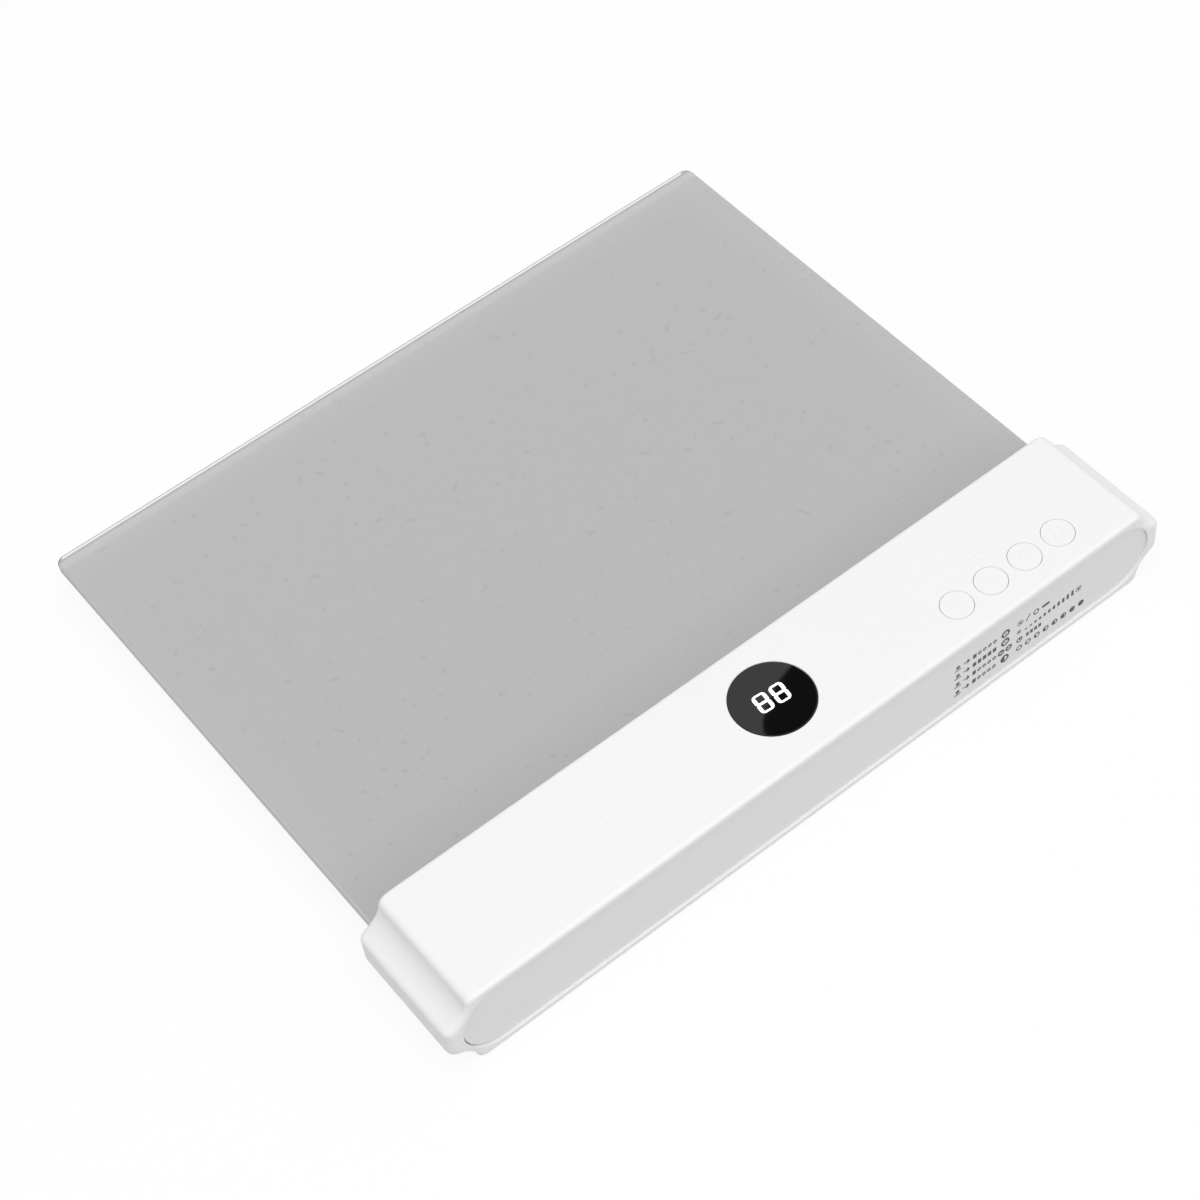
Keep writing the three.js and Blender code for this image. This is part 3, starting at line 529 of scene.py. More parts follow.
def lit_segment(name, tone, glow=0.55):
    """Lit diffuser of a digit's segment, a little darker where the mould is thicker."""
    surface = Surface(name)
    light = surface.tint(surface.noise(grain=0.8 * MM), tone, low=0.95)
    return surface.shade(Base_Color=light, Emission_Color=light, Emission_Strength=glow, Roughness=0.4)


def printed(name, tone, roughness=0.5):
    """Ink with the slight unevenness of pad printing."""
    surface = Surface(name)
    cover = surface.noise(grain=0.25 * MM)
    return surface.shade(
        Base_Color=surface.tint(cover, tone, low=0.8, high=1.35), Roughness=cover * 0.1 + roughness,
    )


def solder_mask(name, tone, roughness=0.3, relief=0.02 * MM):
    """Circuit board: tracks that show through the mask, and bare glass weave at a fine scale."""
    surface = Surface(name)
    tracks = surface.node(
        "ShaderNodeTexBrick", {"offset": 0.37}, {
            "Vector": surface.place(), "Scale": 1.0, "Mortar Size": 0.12 * MM, "Brick Width": 3.1 * MM,
            "Row Height": 0.9 * MM, "Mortar Smooth": 0.2,
        }, output=1,
    )
    weave = surface.noise(grain=0.2 * MM)
    return surface.shade(
        Base_Color=surface.tint(tracks, tone, low=0.8, high=1.5),
        Roughness=weave * 0.15 + roughness, Normal=surface.bump(tracks, relief),
    )


def metal(name, tone, grain, stretch, roughness, relief=0.003 * MM):
    """Metal with fine drawn or brushed lines."""
    surface = Surface(name)
    lines = surface.noise(grain, detail=3.0, stretch=stretch)
    return surface.shade(
        Base_Color=surface.tint(lines, tone, low=0.85), Metallic=1.0,
        Roughness=lines * 0.15 + roughness, Normal=surface.bump(lines, relief),
    )


def gel(name, tone, roughness=0.2):
    """Yellow phosphor gel in a white frame."""
    surface = Surface(name)
    return surface.shade(
        Base_Color=surface.tint(surface.noise(grain=0.4 * MM), tone, low=0.9),
        Roughness=surface.noise(grain=0.9 * MM) * 0.1 + roughness,
    )


def loft(rings, closed=False):
    """Closed surface through rings of as many points each, capped unless the rings close on themselves."""
    shape = bmesh.new()
    rows = [[shape.verts.new(point) for point in ring] for ring in rings]
    pairs = list(zip(rows, rows[1:]))
    if closed:
        pairs.append((rows[-1], rows[0]))
    for low, high in pairs:
        for i in range(len(low)):
            j = (i + 1) % len(low)
            shape.faces.new((low[i], low[j], high[j], high[i]))
    if not closed:
        shape.faces.new(reversed(rows[0]))
        shape.faces.new(rows[-1])
    bmesh.ops.recalc_face_normals(shape, faces=shape.faces)
    return shape


def to_object(shape, name="tool"):
    """Puts a bmesh into a new object of the scene."""
    mesh = bpy.data.meshes.new(name)
    shape.to_mesh(mesh)
    shape.free()
    made = bpy.data.objects.new(name, mesh)
    bpy.context.scene.collection.objects.link(made)
    return made


def along_x(y, z):
    """Places an outline's points about (y, z), at a position along X."""
    return lambda a, b, t: (t, y + a, z + b)


def along_y(x, z):
    """Places an outline's points about (x, z), at a position along Y."""
    return lambda a, b, t: (x + a, t, z + b)


def along_z(x, y):
    """Places an outline's points about (x, y), at a position along Z."""
    return lambda a, b, t: (x + a, y + b, t)


def sweep(outline, stations, place):
    """Solid through one outline drawn at each (position, growth) station."""
    return to_object(loft([[place(a, b, t) for a, b in outline(grow)] for t, grow in stations]))


def prism(outline, start, end, place):
    """Solid with the same outline from start to end."""
    return sweep(outline, [(start, 0), (end, 0)], place)


def circle(radius, steps=64):
    """Outline of a disc, as a function of its growth."""
    turns = [2 * math.pi * i / steps for i in range(steps)]
    return lambda grow: [((radius + grow) * math.cos(t), (radius + grow) * math.sin(t)) for t in turns]


def arc(x, y, radius, start, end, steps):
    """Points of an arc about (x, y), from one angle to another."""
    turns = [start + (end - start) * i / steps for i in range(steps + 1)]
    return [(x + radius * math.cos(t), y + radius * math.sin(t)) for t in turns]


def stadium(run, height, steps=32):
    """Outline of a long shape with round ends, as a function of its growth."""
    def outline(grow):
        radius = height / 2 + grow
        middle = (run - height) / 2
        right = arc(middle, 0, radius, -math.pi / 2, math.pi / 2, steps)
        return right + arc(-middle, 0, radius, math.pi / 2, 1.5 * math.pi, steps)
    return outline


def rectangle(width, height, corner=0.3 * MM, steps=3):
    """Outline of a rectangle with small round corners, as a function of its growth."""
    def outline(grow):
        x, y, r = width / 2 - corner, height / 2 - corner, corner + grow
        quarter = math.pi / 2
        points = []
        for index, (sign_x, sign_y) in enumerate(((1, 1), (-1, 1), (-1, -1), (1, -1))):
            points += arc(sign_x * x, sign_y * y, r, index * quarter, (index + 1) * quarter, steps)
        return points
    return outline


def quarter_round(radius, steps):
    """Quarter round from a face down to a wall, as pairs of depth below the face and distance to the wall."""
    turns = [math.pi / 2 * i / steps for i in range(steps + 1)]
    return [(radius * (1 - math.cos(t)), radius * (1 - math.sin(t))) for t in turns]


def lipped(face, floor, radius, steps=5):
    """Stations of a hole's cutter, from outside the face down to the floor, with a rounded lip."""
    way = 1 if floor > face else -1
    lip = [(face + way * down, aside) for down, aside in quarter_round(radius, steps)]
    return [(face - way * OVER, radius), *lip, (floor, 0)]


def rimmed(low, high, low_round, high_round, steps=5):
    """Stations of a solid from low to high with its two rims rounded."""
    def rim(face, radius, way):
        if radius == 0:
            return [(face, 0)]
        return [(face + way * down, -aside) for down, aside in quarter_round(radius, steps)]
    return [*rim(low, low_round, 1), *reversed(rim(high, high_round, -1))]


def box_tool(x0, x1, y0, y1, z0, z1):
    """Box between two positions along each axis."""
    corners = [(x0, y0), (x1, y0), (x1, y1), (x0, y1)]
    return to_object(loft([[(x, y, z) for x, y in corners] for z in (z0, z1)]))


def post(x, y, z0, z1, radius, steps=48):
    """Upright round post."""
    return prism(circle(radius, steps), z0, z1, along_z(x, y))


def combine(body, steps):
    """Applies (operation, tools) steps to a body one after another, and removes the tools."""
    used = []
    for operation, tools in steps:
        for tool in tools:
            step = body.modifiers.new("combine", "BOOLEAN")
            step.operation = operation
            step.solver = "EXACT"
            step.object = tool
            used.append(tool)
    view = bpy.context.evaluated_depsgraph_get()
    view.update()
    mesh = bpy.data.meshes.new_from_object(body.evaluated_get(view))
    body.modifiers.clear()
    spare = body.data
    body.data = mesh
    bpy.data.meshes.remove(spare)
    for tool in used:
        tool_mesh = tool.data
        bpy.data.objects.remove(tool)
        bpy.data.meshes.remove(tool_mesh)
    return body


def clean(piece):
    """Merges doubled corners and drops slivers that the cuts left."""
    shape = bmesh.new()
    shape.from_mesh(piece.data)
    bmesh.ops.remove_doubles(shape, verts=shape.verts, dist=WELD)
    bmesh.ops.dissolve_degenerate(shape, edges=shape.edges, dist=WELD)
    shape.to_mesh(piece.data)
    shape.free()


def even_normals(piece, keep_sharp):
    """Weighs the corner normals by the faces' areas, so that flat faces look flat."""
    weights = piece.modifiers.new("even_normals", "WEIGHTED_NORMAL")
    weights.keep_sharp = keep_sharp
    weights.weight = 100


def smooth(piece):
    """Smooth shading that keeps real edges and leaves flat faces flat."""
    piece.data.shade_smooth()
    piece.data.set_sharp_from_angle(angle=SHARP_ANGLE)
    even_normals(piece, keep_sharp=True)


def finish_piece(piece, name, materials, body, slot, *nodes):
    """Names a piece, gives it its materials and body, and lets it stand for its frame nodes."""
    piece.name = name
    piece.data.name = name
    for material in materials:
        piece.data.materials.append(material)
    smooth(piece)
    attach(piece, body)
    if nodes:
        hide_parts(*nodes)
    return piece


def bezier(start, pull, end, steps):
    """Points of a quadratic curve."""
    points = []
    for i in range(steps + 1):
        t = i / steps
        shares = ((1 - t) ** 2, 2 * t * (1 - t), t * t)
        points.append(tuple(sum(s * p[k] for s, p in zip(shares, (start, pull, end))) for k in (0, 1)))
    return points


def end_profile(sizes, inset, steps=8):
    """End profile of the bar, drawn inset from the outside, as points about the middle of its height."""
    x = EAR_X - sizes.ear_reach - inset
    z = TOP_Z - PARTING_Z - inset
    squeeze = (sizes.ear_shoulder - inset) / sizes.ear_shoulder
    tip = x + sizes.ear_reach
    side = (x + sizes.corner_lean, z - sizes.corner_round)
    shoulder = (tip - sizes.ear_round, sizes.ear_shoulder * squeeze)
    end = (tip, sizes.ear_tip * squeeze)
    quarter = [
        *bezier((x - sizes.corner_round, z), (x + sizes.corner_lean / 2, z), side, steps),
        *bezier(side, (x + sizes.flank_inset, sizes.flank_dip - inset), shoulder, 2 * steps)[1:],
        *bezier(shoulder, (tip, sizes.ear_turn * squeeze), end, steps)[1:],
    ]
    right = quarter + [(a, -b) for a, b in reversed(quarter)]
    return right + [(-a, b) for a, b in reversed(right)]


def round_drop(radius, distance):
    """How far a round corner falls short of its face at this distance from the other face."""
    left = max(0.0, radius - distance)
    return radius - math.sqrt(radius * radius - left * left)


def ear_reach(sizes, y):
    """Reach of the ears' tips at this depth, with their corners rounded in plan."""
    return EAR_X - round_drop(sizes.ear_plan, min(y - FRONT_Y, BACK_Y - y))


def bar_solid(sizes, inset, front, back, edge):
    """The bar's outside or its hollow, by the inset that its profile is drawn with."""
    stations = rimmed(front, back, edge, edge, steps=6)
    middle = len(stations) // 2
    turns = [edge + (sizes.ear_plan - edge) * share for share in TURN_SHARES] if edge else []
    extra = [(front + turn, 0) for turn in turns] + [(back - turn, 0) for turn in reversed(turns)]
    rings = []
    for y, grow in stations[:middle] + extra + stations[middle:]:
        profile = end_profile(sizes, inset - grow)
        base = EAR_X - sizes.ear_reach - inset + grow
        tip = max(a for a, _ in profile)
        drop = round_drop(sizes.top_plan, BACK_Y - y)
        share = (min(tip, ear_reach(sizes, y)) - base + drop) / (tip - base)
        ring = []
        for a, b in profile:
            reach = min(abs(a), base) - drop + max(0.0, abs(a) - base) * share
            ring.append((math.copysign(reach, a), y, PARTING_Z + b))
        rings.append(ring)
    return to_object(loft(rings))


def parting_tool(sizes):
    """Ring with a pointed section that cuts the groove where the shells meet."""
    plan = rectangle(2 * EAR_X, BACK_Y - FRONT_Y, sizes.ear_plan, steps=12)
    depth = sizes.parting
    sections = ((-depth, 0), (depth, 2 * depth), (depth, -2 * depth))
    loops = [plan(grow) for grow, _ in sections]
    middle = (FRONT_Y + BACK_Y) / 2
    rings = [
        [(loop[i][0], middle + loop[i][1], PARTING_Z + rise) for loop, (_, rise) in zip(loops, sections)]
        for i in range(len(loops[0]))
    ]
    return to_object(loft(rings, closed=True))


def recess_floor(sizes):
    """Where the front recess ends and the plate's back lies."""
    return PLATE_LOW.y + sizes.plate_thickness


def shared_cuts(sizes, plate):
    """Cuts that both shells share: front recess, panel slot, inlet mouth, peg holes and parting groove."""
    gap = sizes.recess_gap
    recess = stadium(PLATE_HIGH.x - PLATE_LOW.x + 2 * gap, PLATE_HIGH.z - PLATE_LOW.z + 2 * gap, steps=48)
    slot = rectangle(
        PANEL_HIGH.x - PANEL_LOW.x + 2 * sizes.slot_gap, PANEL_HIGH.z - PANEL_LOW.z + 2 * sizes.slot_gap,
    )
    mouth = stadium(INLET_HIGH.y - INLET_LOW.y + 2 * gap, INLET_HIGH.z - INLET_LOW.z + 2 * gap)
    inner_wall = recess_floor(sizes) + sizes.plate_wall
    peg_hole = circle(plate.peg_radius + gap, steps=24)
    pegs = [
        prism(peg_hole, recess_floor(sizes) - OVER, inner_wall + OVER, along_y(x, z))
        for x, z in peg_spots(sizes, plate)
    ]
    return [
        sweep(recess, lipped(FRONT_Y, recess_floor(sizes), sizes.recess_lip, 8), along_y(0, PARTING_Z)),
        sweep(slot, lipped(BACK_Y, BACK_Y - sizes.wall - OVER, sizes.hole_lip), along_y(0, PARTING_Z)),
        sweep(mouth, lipped(EAR_X, EAR_X - sizes.ear_reach - OVER, sizes.hole_lip),
              along_x(INLET_PLACE.y, INLET_PLACE.z)),
        parting_tool(sizes),
        *pegs,
    ]


def peg_spots(sizes, plate):
    """Places of the eight pegs behind the plate, as X and Z."""
    outer = EAR_X - sizes.ear_reach - plate.peg_inset
    columns = (-outer, plate.peg_pitch - outer, outer - plate.peg_pitch, outer)
    return [(x, PARTING_Z + rise) for x in columns for rise in (-plate.peg_rise, plate.peg_rise)]


def shell_half(sizes, lower):
    """One hollow half of the bar, before its own cuts."""
    body = bar_solid(sizes, 0, FRONT_Y, BACK_Y, sizes.edge_round)
    hollow = bar_solid(sizes, sizes.wall, recess_floor(sizes) + sizes.plate_wall, BACK_Y - sizes.wall, 0)
    reach = EAR_X + OVER
    low, high = (PARTING_Z, TOP_Z + OVER) if lower else (FLOOR_Z - OVER, PARTING_Z)
    other = box_tool(-reach, reach, FRONT_Y - OVER, BACK_Y + OVER, low, high)
    return combine(body, [("DIFFERENCE", [other, hollow])])


def hairline(sizes, side):
    """Cutter of one shallow groove in the top, beside the window."""
    start, end = PANE_HIGH.x + sizes.hair_start, EAR_X - sizes.ear_reach - sizes.hair_end
    width, middle = sizes.hair_width, (FRONT_Y + BACK_Y) / 2 - sizes.hair_shift
    stations = [(TOP_Z + OVER, width / 2), (TOP_Z, 0), (TOP_Z - sizes.hair_depth, -width / 3)]
    return sweep(stadium(end - start, width, steps=6), stations, along_z(side * (start + end) / 2, middle))


def case_screws(fixing):
    """Places of the four case screws, with the clearance that each boss keeps to the parting plane."""
    half_panel = (PANEL_HIGH.z - PANEL_LOW.z) / 2
    places = [centre(f"case_screw_{index}") for index in range(1, 5)]
    return [(p.x, p.y, fixing.boss_gap + (half_panel if p.y > PANEL_LOW.y else 0)) for p in places]


def build_top_shell(scene, material):
    """Upper shell with its bosses and standoffs, and its openings for the window, the digits and the caps."""
    sizes, fixing, button = scene.light_housing, scene.light_fixings, scene.light_buttons
    ceiling = TOP_Z - sizes.wall
    root = ceiling + sizes.wall / 2
    screws = case_screws(fixing)
    board_spots = [centre(f"board_screw_{index}") for index in range(1, 4)]
    bosses = [post(x, y, PARTING_Z + gap, root, fixing.boss_radius) for x, y, gap in screws]
    standoffs = [post(p.x, p.y, BOARD_HIGH.z, root, fixing.standoff_radius) for p in board_spots]
    case_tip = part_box("case_screw_1")[1].z + fixing.pilot_end
    board_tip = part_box("board_screw_1")[1].z + fixing.pilot_end
    pilots = [post(x, y, PARTING_Z - OVER, case_tip, fixing.pilot_radius, steps=24) for x, y, _ in screws]
    pilots += [post(p.x, p.y, BOARD_LOW.z, board_tip, fixing.board_pilot, steps=24) for p in board_spots]
    low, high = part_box("digit_module")
    room = fixing.module_gap
    opening = box_tool(
        low.x - room, high.x + room, low.y - room, high.y + room, ceiling - OVER, PANE_LOW.z + OVER,
    )
    pane = circle((PANE_HIGH.x - PANE_LOW.x) / 2 + scene.light_window.gap, steps=128)
    recess = sweep(pane, lipped(TOP_Z, PANE_LOW.z, sizes.hole_lip), along_z(PANE_PLACE.x, PANE_PLACE.y))
    hole = circle(button.radius + button.gap, steps=96)
    holes = [
        sweep(hole, lipped(TOP_Z, ceiling - OVER, button.lip), along_z(place.x, place.y))
        for place in (centre(f"button_{key}") for key in KEYS)
    ]
    shell = combine(shell_half(sizes, lower=False), [
        ("UNION", bosses + standoffs),
        ("DIFFERENCE", [*pilots, opening, recess, *holes, hairline(sizes, -1), hairline(sizes, 1)]),
        ("DIFFERENCE", shared_cuts(sizes, scene.light_plate)),
    ])
    clean(shell)
    return finish_piece(shell, "housing_top", [material], MAIN_BODY, "white_shell", "top_shell")


def strip_rests(fixing, low):
    """Rests that hold the diode strip from below and from the front: an upright and a foot each."""
    rests = []
    back = STRIP_LOW.y - fixing.rest_gap
    front = back - fixing.rest_wall
    for x in (-fixing.outer_rest, -fixing.left_rest, fixing.right_rest, fixing.outer_rest):
        near, far = x - fixing.rest_reach, x + fixing.rest_reach
        rests.append(box_tool(near, far, front, back, low, STRIP_HIGH.z))
        rests.append(box_tool(
            near, far, front, STRIP_HIGH.y - fixing.rest_step, low, STRIP_LOW.z - fixing.rest_gap,
        ))
    return rests


def build_bottom_shell(scene, material):
    """Lower shell with its screw wells, posts, strip rests and the cell's cradle."""
    sizes, fixing = scene.light_housing, scene.light_fixings
    low = FLOOR_Z + sizes.wall / 2
    screws = case_screws(fixing)
    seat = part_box("case_screw_1")[0].z + fixing.head_height
    wells = [post(x, y, low, PARTING_Z - gap, fixing.well_radius + fixing.well_wall) for x, y, gap in screws]
    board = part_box("charge_board")[0].z
    post_spots = [centre(f"charge_screw_{index}") for index in (1, 2)]
    posts = [post(p.x, p.y, low, board, fixing.post_radius) for p in post_spots]
    supports = strip_rests(fixing, low)
    cell = centre("battery_cell")
    radius = (CELL_HIGH.z - CELL_LOW.z) / 2
    front = recess_floor(sizes) + sizes.plate_wall - sizes.wall / 2
    rib_top = FLOOR_Z + sizes.wall + fixing.cradle_rise
    thick = fixing.cradle_reach
    for x in (CELL_LOW.x + fixing.cradle_left, cell.x, CELL_HIGH.x - fixing.cradle_right):
        supports.append(box_tool(x - thick, x + thick, front, cell.y + radius, low, rib_top))
    cell_room = prism(circle(radius + fixing.cell_gap), CELL_LOW.x, CELL_HIGH.x, along_x(cell.y, cell.z))
    well_hole = circle(fixing.well_radius, steps=48)
    well_stations = lipped(FLOOR_Z, seat, sizes.hole_lip)
    well_cuts = [sweep(well_hole, well_stations, along_z(x, y)) for x, y, _ in screws]
    shank = fixing.shank_radius
    shank_cuts = [post(x, y, seat - OVER, PARTING_Z + OVER, shank, steps=32) for x, y, _ in screws]
    pilot_end = board - fixing.post_pilot
    pilots = [post(p.x, p.y, pilot_end, board + OVER, fixing.board_pilot, steps=24) for p in post_spots]
    shell = combine(shell_half(sizes, lower=True), [
        ("UNION", wells + posts + supports),
        ("DIFFERENCE", [cell_room, *well_cuts, *shank_cuts, *pilots]),
        ("DIFFERENCE", shared_cuts(sizes, scene.light_plate)),
    ])
    clean(shell)
    return finish_piece(shell, "housing_bottom", [material], MAIN_BODY, "white_shell", "bottom_shell")


def build_front_plate(scene, material):
    """Front plate with its round ends and the pegs behind it."""
    sizes, plate = scene.light_housing, scene.light_plate
    full = stadium(
        PLATE_HIGH.x - PLATE_LOW.x + 2 * plate.fit, PLATE_HIGH.z - PLATE_LOW.z + 2 * plate.fit, steps=48,
    )

    def outline(grow):
        return [(x + plate.end_gap if x < 0 else x, z) for x, z in full(grow)]

    body = sweep(outline, rimmed(PLATE_LOW.y, recess_floor(sizes), plate.rim, 0), along_y(0, PARTING_Z))
    middle = PLATE_LOW.y + sizes.plate_thickness / 2
    peg, peg_stations = circle(plate.peg_radius, steps=32), rimmed(middle, PLATE_HIGH.y, 0, plate.peg_rim)
    pegs = [sweep(peg, peg_stations, along_y(x, z)) for x, z in peg_spots(sizes, plate)]
    combine(body, [("UNION", pegs)])
    clean(body)
    return finish_piece(body, "plate_front", [material], MAIN_BODY, "front_plate", "front_plate")


class Print:
    """Flat printed marks on the front plate, drawn in X and in height about the plate's middle."""

    def __init__(self, plate):
        self.shape = bmesh.new()
        self.face = PLATE_LOW.y
        self.ink = plate.ink
        self.line = plate.stroke
        self.half = plate.mark / 2
        self.light = False

    def slab(self, points):
        """Closed slab with this outline: of dark ink, or of light ink over the dark."""
        rise = self.ink * (2 if self.light else 1)
        rows = [
            [self.shape.verts.new((x, y, PARTING_Z + z)) for x, z in points]
            for y in (self.face - rise, self.face + self.ink / 2)
        ]
        loops = [(rows[0][i], rows[0][i - 1], rows[1][i - 1], rows[1][i]) for i in range(len(points))]
        for loop in (*loops, rows[0][::-1], rows[1]):
            self.shape.faces.new(loop).material_index = int(self.light)

    def bar(self, x0, z0, x1, z1):
        """Straight stroke from one point to another."""
        across = Vector((z0 - z1, x1 - x0)).normalized() * self.line / 2
        self.slab([
            (x0 + across.x, z0 + across.y), (x1 + across.x, z1 + across.y), (x1 - across.x, z1 - across.y),
            (x0 - across.x, z0 - across.y),
        ])

    def disc(self, x, z, radius, start=0.0, end=math.tau, steps=24):
        """Disc, or the part of it between two angles."""
        points = arc(x, z, radius, start, end, steps)
        self.slab(points[:-1] if math.isclose(end - start, math.tau) else points)

    def ring(self, x, z, radius, start=0.0, end=math.tau, steps=20):
        """Ring or arc of one stroke's width, in short straight slabs."""
        outer = arc(x, z, radius, start, end, steps)
        inner = arc(x, z, radius - self.line, start, end, steps)
        for i in range(steps):
            self.slab([outer[i], outer[i + 1], inner[i + 1], inner[i]])

    def block(self, x, z, width, height):
        """Filled block that starts at x."""
        low, high = z - height / 2, z + height / 2
        self.slab([(x, low), (x + width, low), (x + width, high), (x, high)])

    def press(self, x, z, run, marks=5):
        """A tap and an arrow, then a row of marks that is filled for as long as the tap lasts."""
        half = self.half
        aside, rise, radius = TAP_DOT_SHARES
        self.disc(x + aside * half, z + rise * half, radius * half)
        for x0, z0, x1, z1 in TAP_STROKE_SHARES:
            self.bar(x + x0 * half, z + z0 * half, x + x1 * half, z + z1 * half)
        start, pitch = MARK_ROW_SHARES
        width, height = MARK_SHARES
        middle, radius = OPEN_MARK_SHARES
        for index in range(marks):
            left = x + (start + index * pitch) * half
            if index < run:
                self.block(left, z, width * half, height * half)
            else:
                self.ring(left + middle * half, z, radius * half)

    def key(self, x, z, sign, radius, sign_share=0.55, line_share=1.1, opening=math.pi / 5):
        """Dark roundel with a light sign on it. The power sign's ring is open at the top for its line."""
        self.disc(x, z, radius)
        self.light = True
        reach = sign_share * radius
        if sign in ("minus", "plus"):
            self.bar(x - reach, z, x + reach, z)
        if sign == "plus":
            self.bar(x, z - reach, x, z + reach)
        if sign == "power":
            self.ring(x, z, reach, math.pi / 2 + opening, 2.5 * math.pi - opening)
            self.bar(x, z, x, z + line_share * reach)
        if sign == "mode":
            self.disc(x, z, reach, -math.pi / 2, math.pi / 2)
        self.light = False

    def sun(self, x, z, size, rays=8, disc_share=0.42, ray_share=0.65):
        """Lamp sign: a disc with rays round it."""
        self.disc(x, z, disc_share * size)
        for index in range(rays):
            turn = math.tau * index / rays
            c, s = math.cos(turn), math.sin(turn)
            self.bar(x + ray_share * size * c, z + ray_share * size * s, x + size * c, z + size * s)

    def clock(self, x, z, size, long_share=0.6, short_share=0.45):
        """Timer sign: a dial with two hands."""
        self.ring(x, z, size)
        self.bar(x, z, x, z + long_share * size)
        self.bar(x, z, x + short_share * size, z)

    def shade_disc(self, x, z, size, share):
        """Ring that is filled from the left up to a share of its width."""
        self.ring(x, z, size)
        turn = math.acos(1 - 2 * share)
        if share > 0:
            self.disc(x, z, size - self.line, math.pi - turn, math.pi + turn)


def draw_light_row(ink, x, z, half):
    """Lamp on, a stroke, and lamp off: a sun, and a ring with a block beside it."""
    left, right = SLASH_SHARES
    place, radius = OFF_RING_SHARES
    start, width, height = OFF_BLOCK_SHARES
    ink.sun(x, z, half)
    ink.bar(x + left * half, z - half, x + right * half, z + half)
    ink.ring(x + place * half, z, radius * half)
    ink.block(x + start * half, z, width * half, height * half)


def draw_dimming_row(ink, x, z, half, steps=11):
    """From a small lamp to a large one, over blocks that grow."""
    shift, size = SMALL_SUN_SHARES
    start, pitch, width = STEP_SHARES
    least, growth = STEP_HEIGHT_SHARES
    ink.sun(x + shift * half, z, size * half)
    for index in range(steps):
        tall = (least + growth * index / (steps - 1)) * half
        ink.block(x + (start + pitch * index) * half, z + (tall / 2 - half), width * half, tall)
    ink.sun(x + LARGE_SUN_SHARE * half, z, half)


def draw_timer_row(ink, x, z, half, blocks=4):
    """A clock and a row of equal blocks."""
    start, pitch, width, height = TIMER_BLOCK_SHARES
    ink.clock(x, z, half)
    for index in range(blocks):
        ink.block(x + (start + pitch * index) * half, z, width * half, height * half)


def draw_tone_row(ink, x, z, half, steps=8):
    """Rings that are filled further and further, from empty to full."""
    pitch, radius = TONE_DISC_SHARES
    for index in range(steps):
        ink.shade_disc(x + pitch * index * half, z, radius * half, index / (steps - 1))


def build_legend(scene, dark, light):
    """Four rows of generic signs: how a cap is pressed, which cap it is, and what it does."""
    plate = scene.light_plate
    ink = Print(plate)
    half = plate.mark / 2
    rows = [plate.first_row - index * plate.row_pitch for index in range(4)]
    for z, run in zip(rows, (1, 5, 1, 1)):
        ink.press(plate.press_column, z, run)
    for z, sign in ((rows[0], "power"), (rows[1], "power"), (rows[3], "mode")):
        ink.key(plate.key_column, z, sign, plate.key_radius)
    aside, small = (share * plate.key_radius for share in PAIR_SHARES)
    for way, sign in ((-1, "minus"), (1, "plus")):
        ink.key(plate.key_column + way * aside, rows[2], sign, small)
    x = plate.effect_column + half
    draw_light_row(ink, x, rows[0], half)
    draw_dimming_row(ink, x, rows[1], half)
    draw_timer_row(ink, x, rows[2], half)
    draw_tone_row(ink, x, rows[3], half)
    bmesh.ops.recalc_face_normals(ink.shape, faces=ink.shape.faces)
    return finish_piece(to_object(ink.shape), "legend_print", [dark, light], MAIN_BODY, None)


def panel_face_slot(normal, flat=0.98, tongue=-0.5, upper=0.05, far=0.15, left=-0.7):
    """Material slot of a face of the panel, by the limits of its normal that part clear and milky faces. Each
    milky slot has its own painted glow.
    """
    aside, back, up = normal
    if abs(up) > flat or back < tongue:
        return CLEAR
    if up > upper and back > far:
        return RIM
    if up > upper or aside < left:
        return NEAR
    return END if back > flat else FAR


def build_panel(scene, materials):
    """Panel with round far corners and rims, and holes in its tongue for the case screws."""
    sizes = scene.light_panel
    half, far, near = PANEL_HIGH.x, PANEL_HIGH.y, PANEL_LOW.y

    def plan(grow):
        x, r = half - sizes.corner, sizes.corner + grow
        quarter = math.pi / 2
        corners = arc(x, far - sizes.corner, r, 0, quarter, steps=10)
        corners += arc(-x, far - sizes.corner, r, quarter, 2 * quarter, steps=10)
        return [*corners, (-half - grow, near - grow), (half + grow, near - grow)]

    stations = rimmed(PANEL_LOW.z, PANEL_HIGH.z, sizes.lower_rim, sizes.upper_rim, steps=6)
    body = sweep(plan, stations, along_z(0, 0))
    holes = [
        post(x, y, PANEL_LOW.z - OVER, PANEL_HIGH.z + OVER, sizes.screw_hole, steps=32)
        for x, y, _ in case_screws(scene.light_fixings) if y > PANEL_LOW.y
    ]
    combine(body, [("DIFFERENCE", holes)])
    # Each side of the panel's edge gets the slot of its own painted glow
    for face in body.data.polygons:
        face.material_index = panel_face_slot(face.normal)
    return finish_piece(body, "panel_clear", materials, MAIN_BODY, "clear_panel", "light_panel")


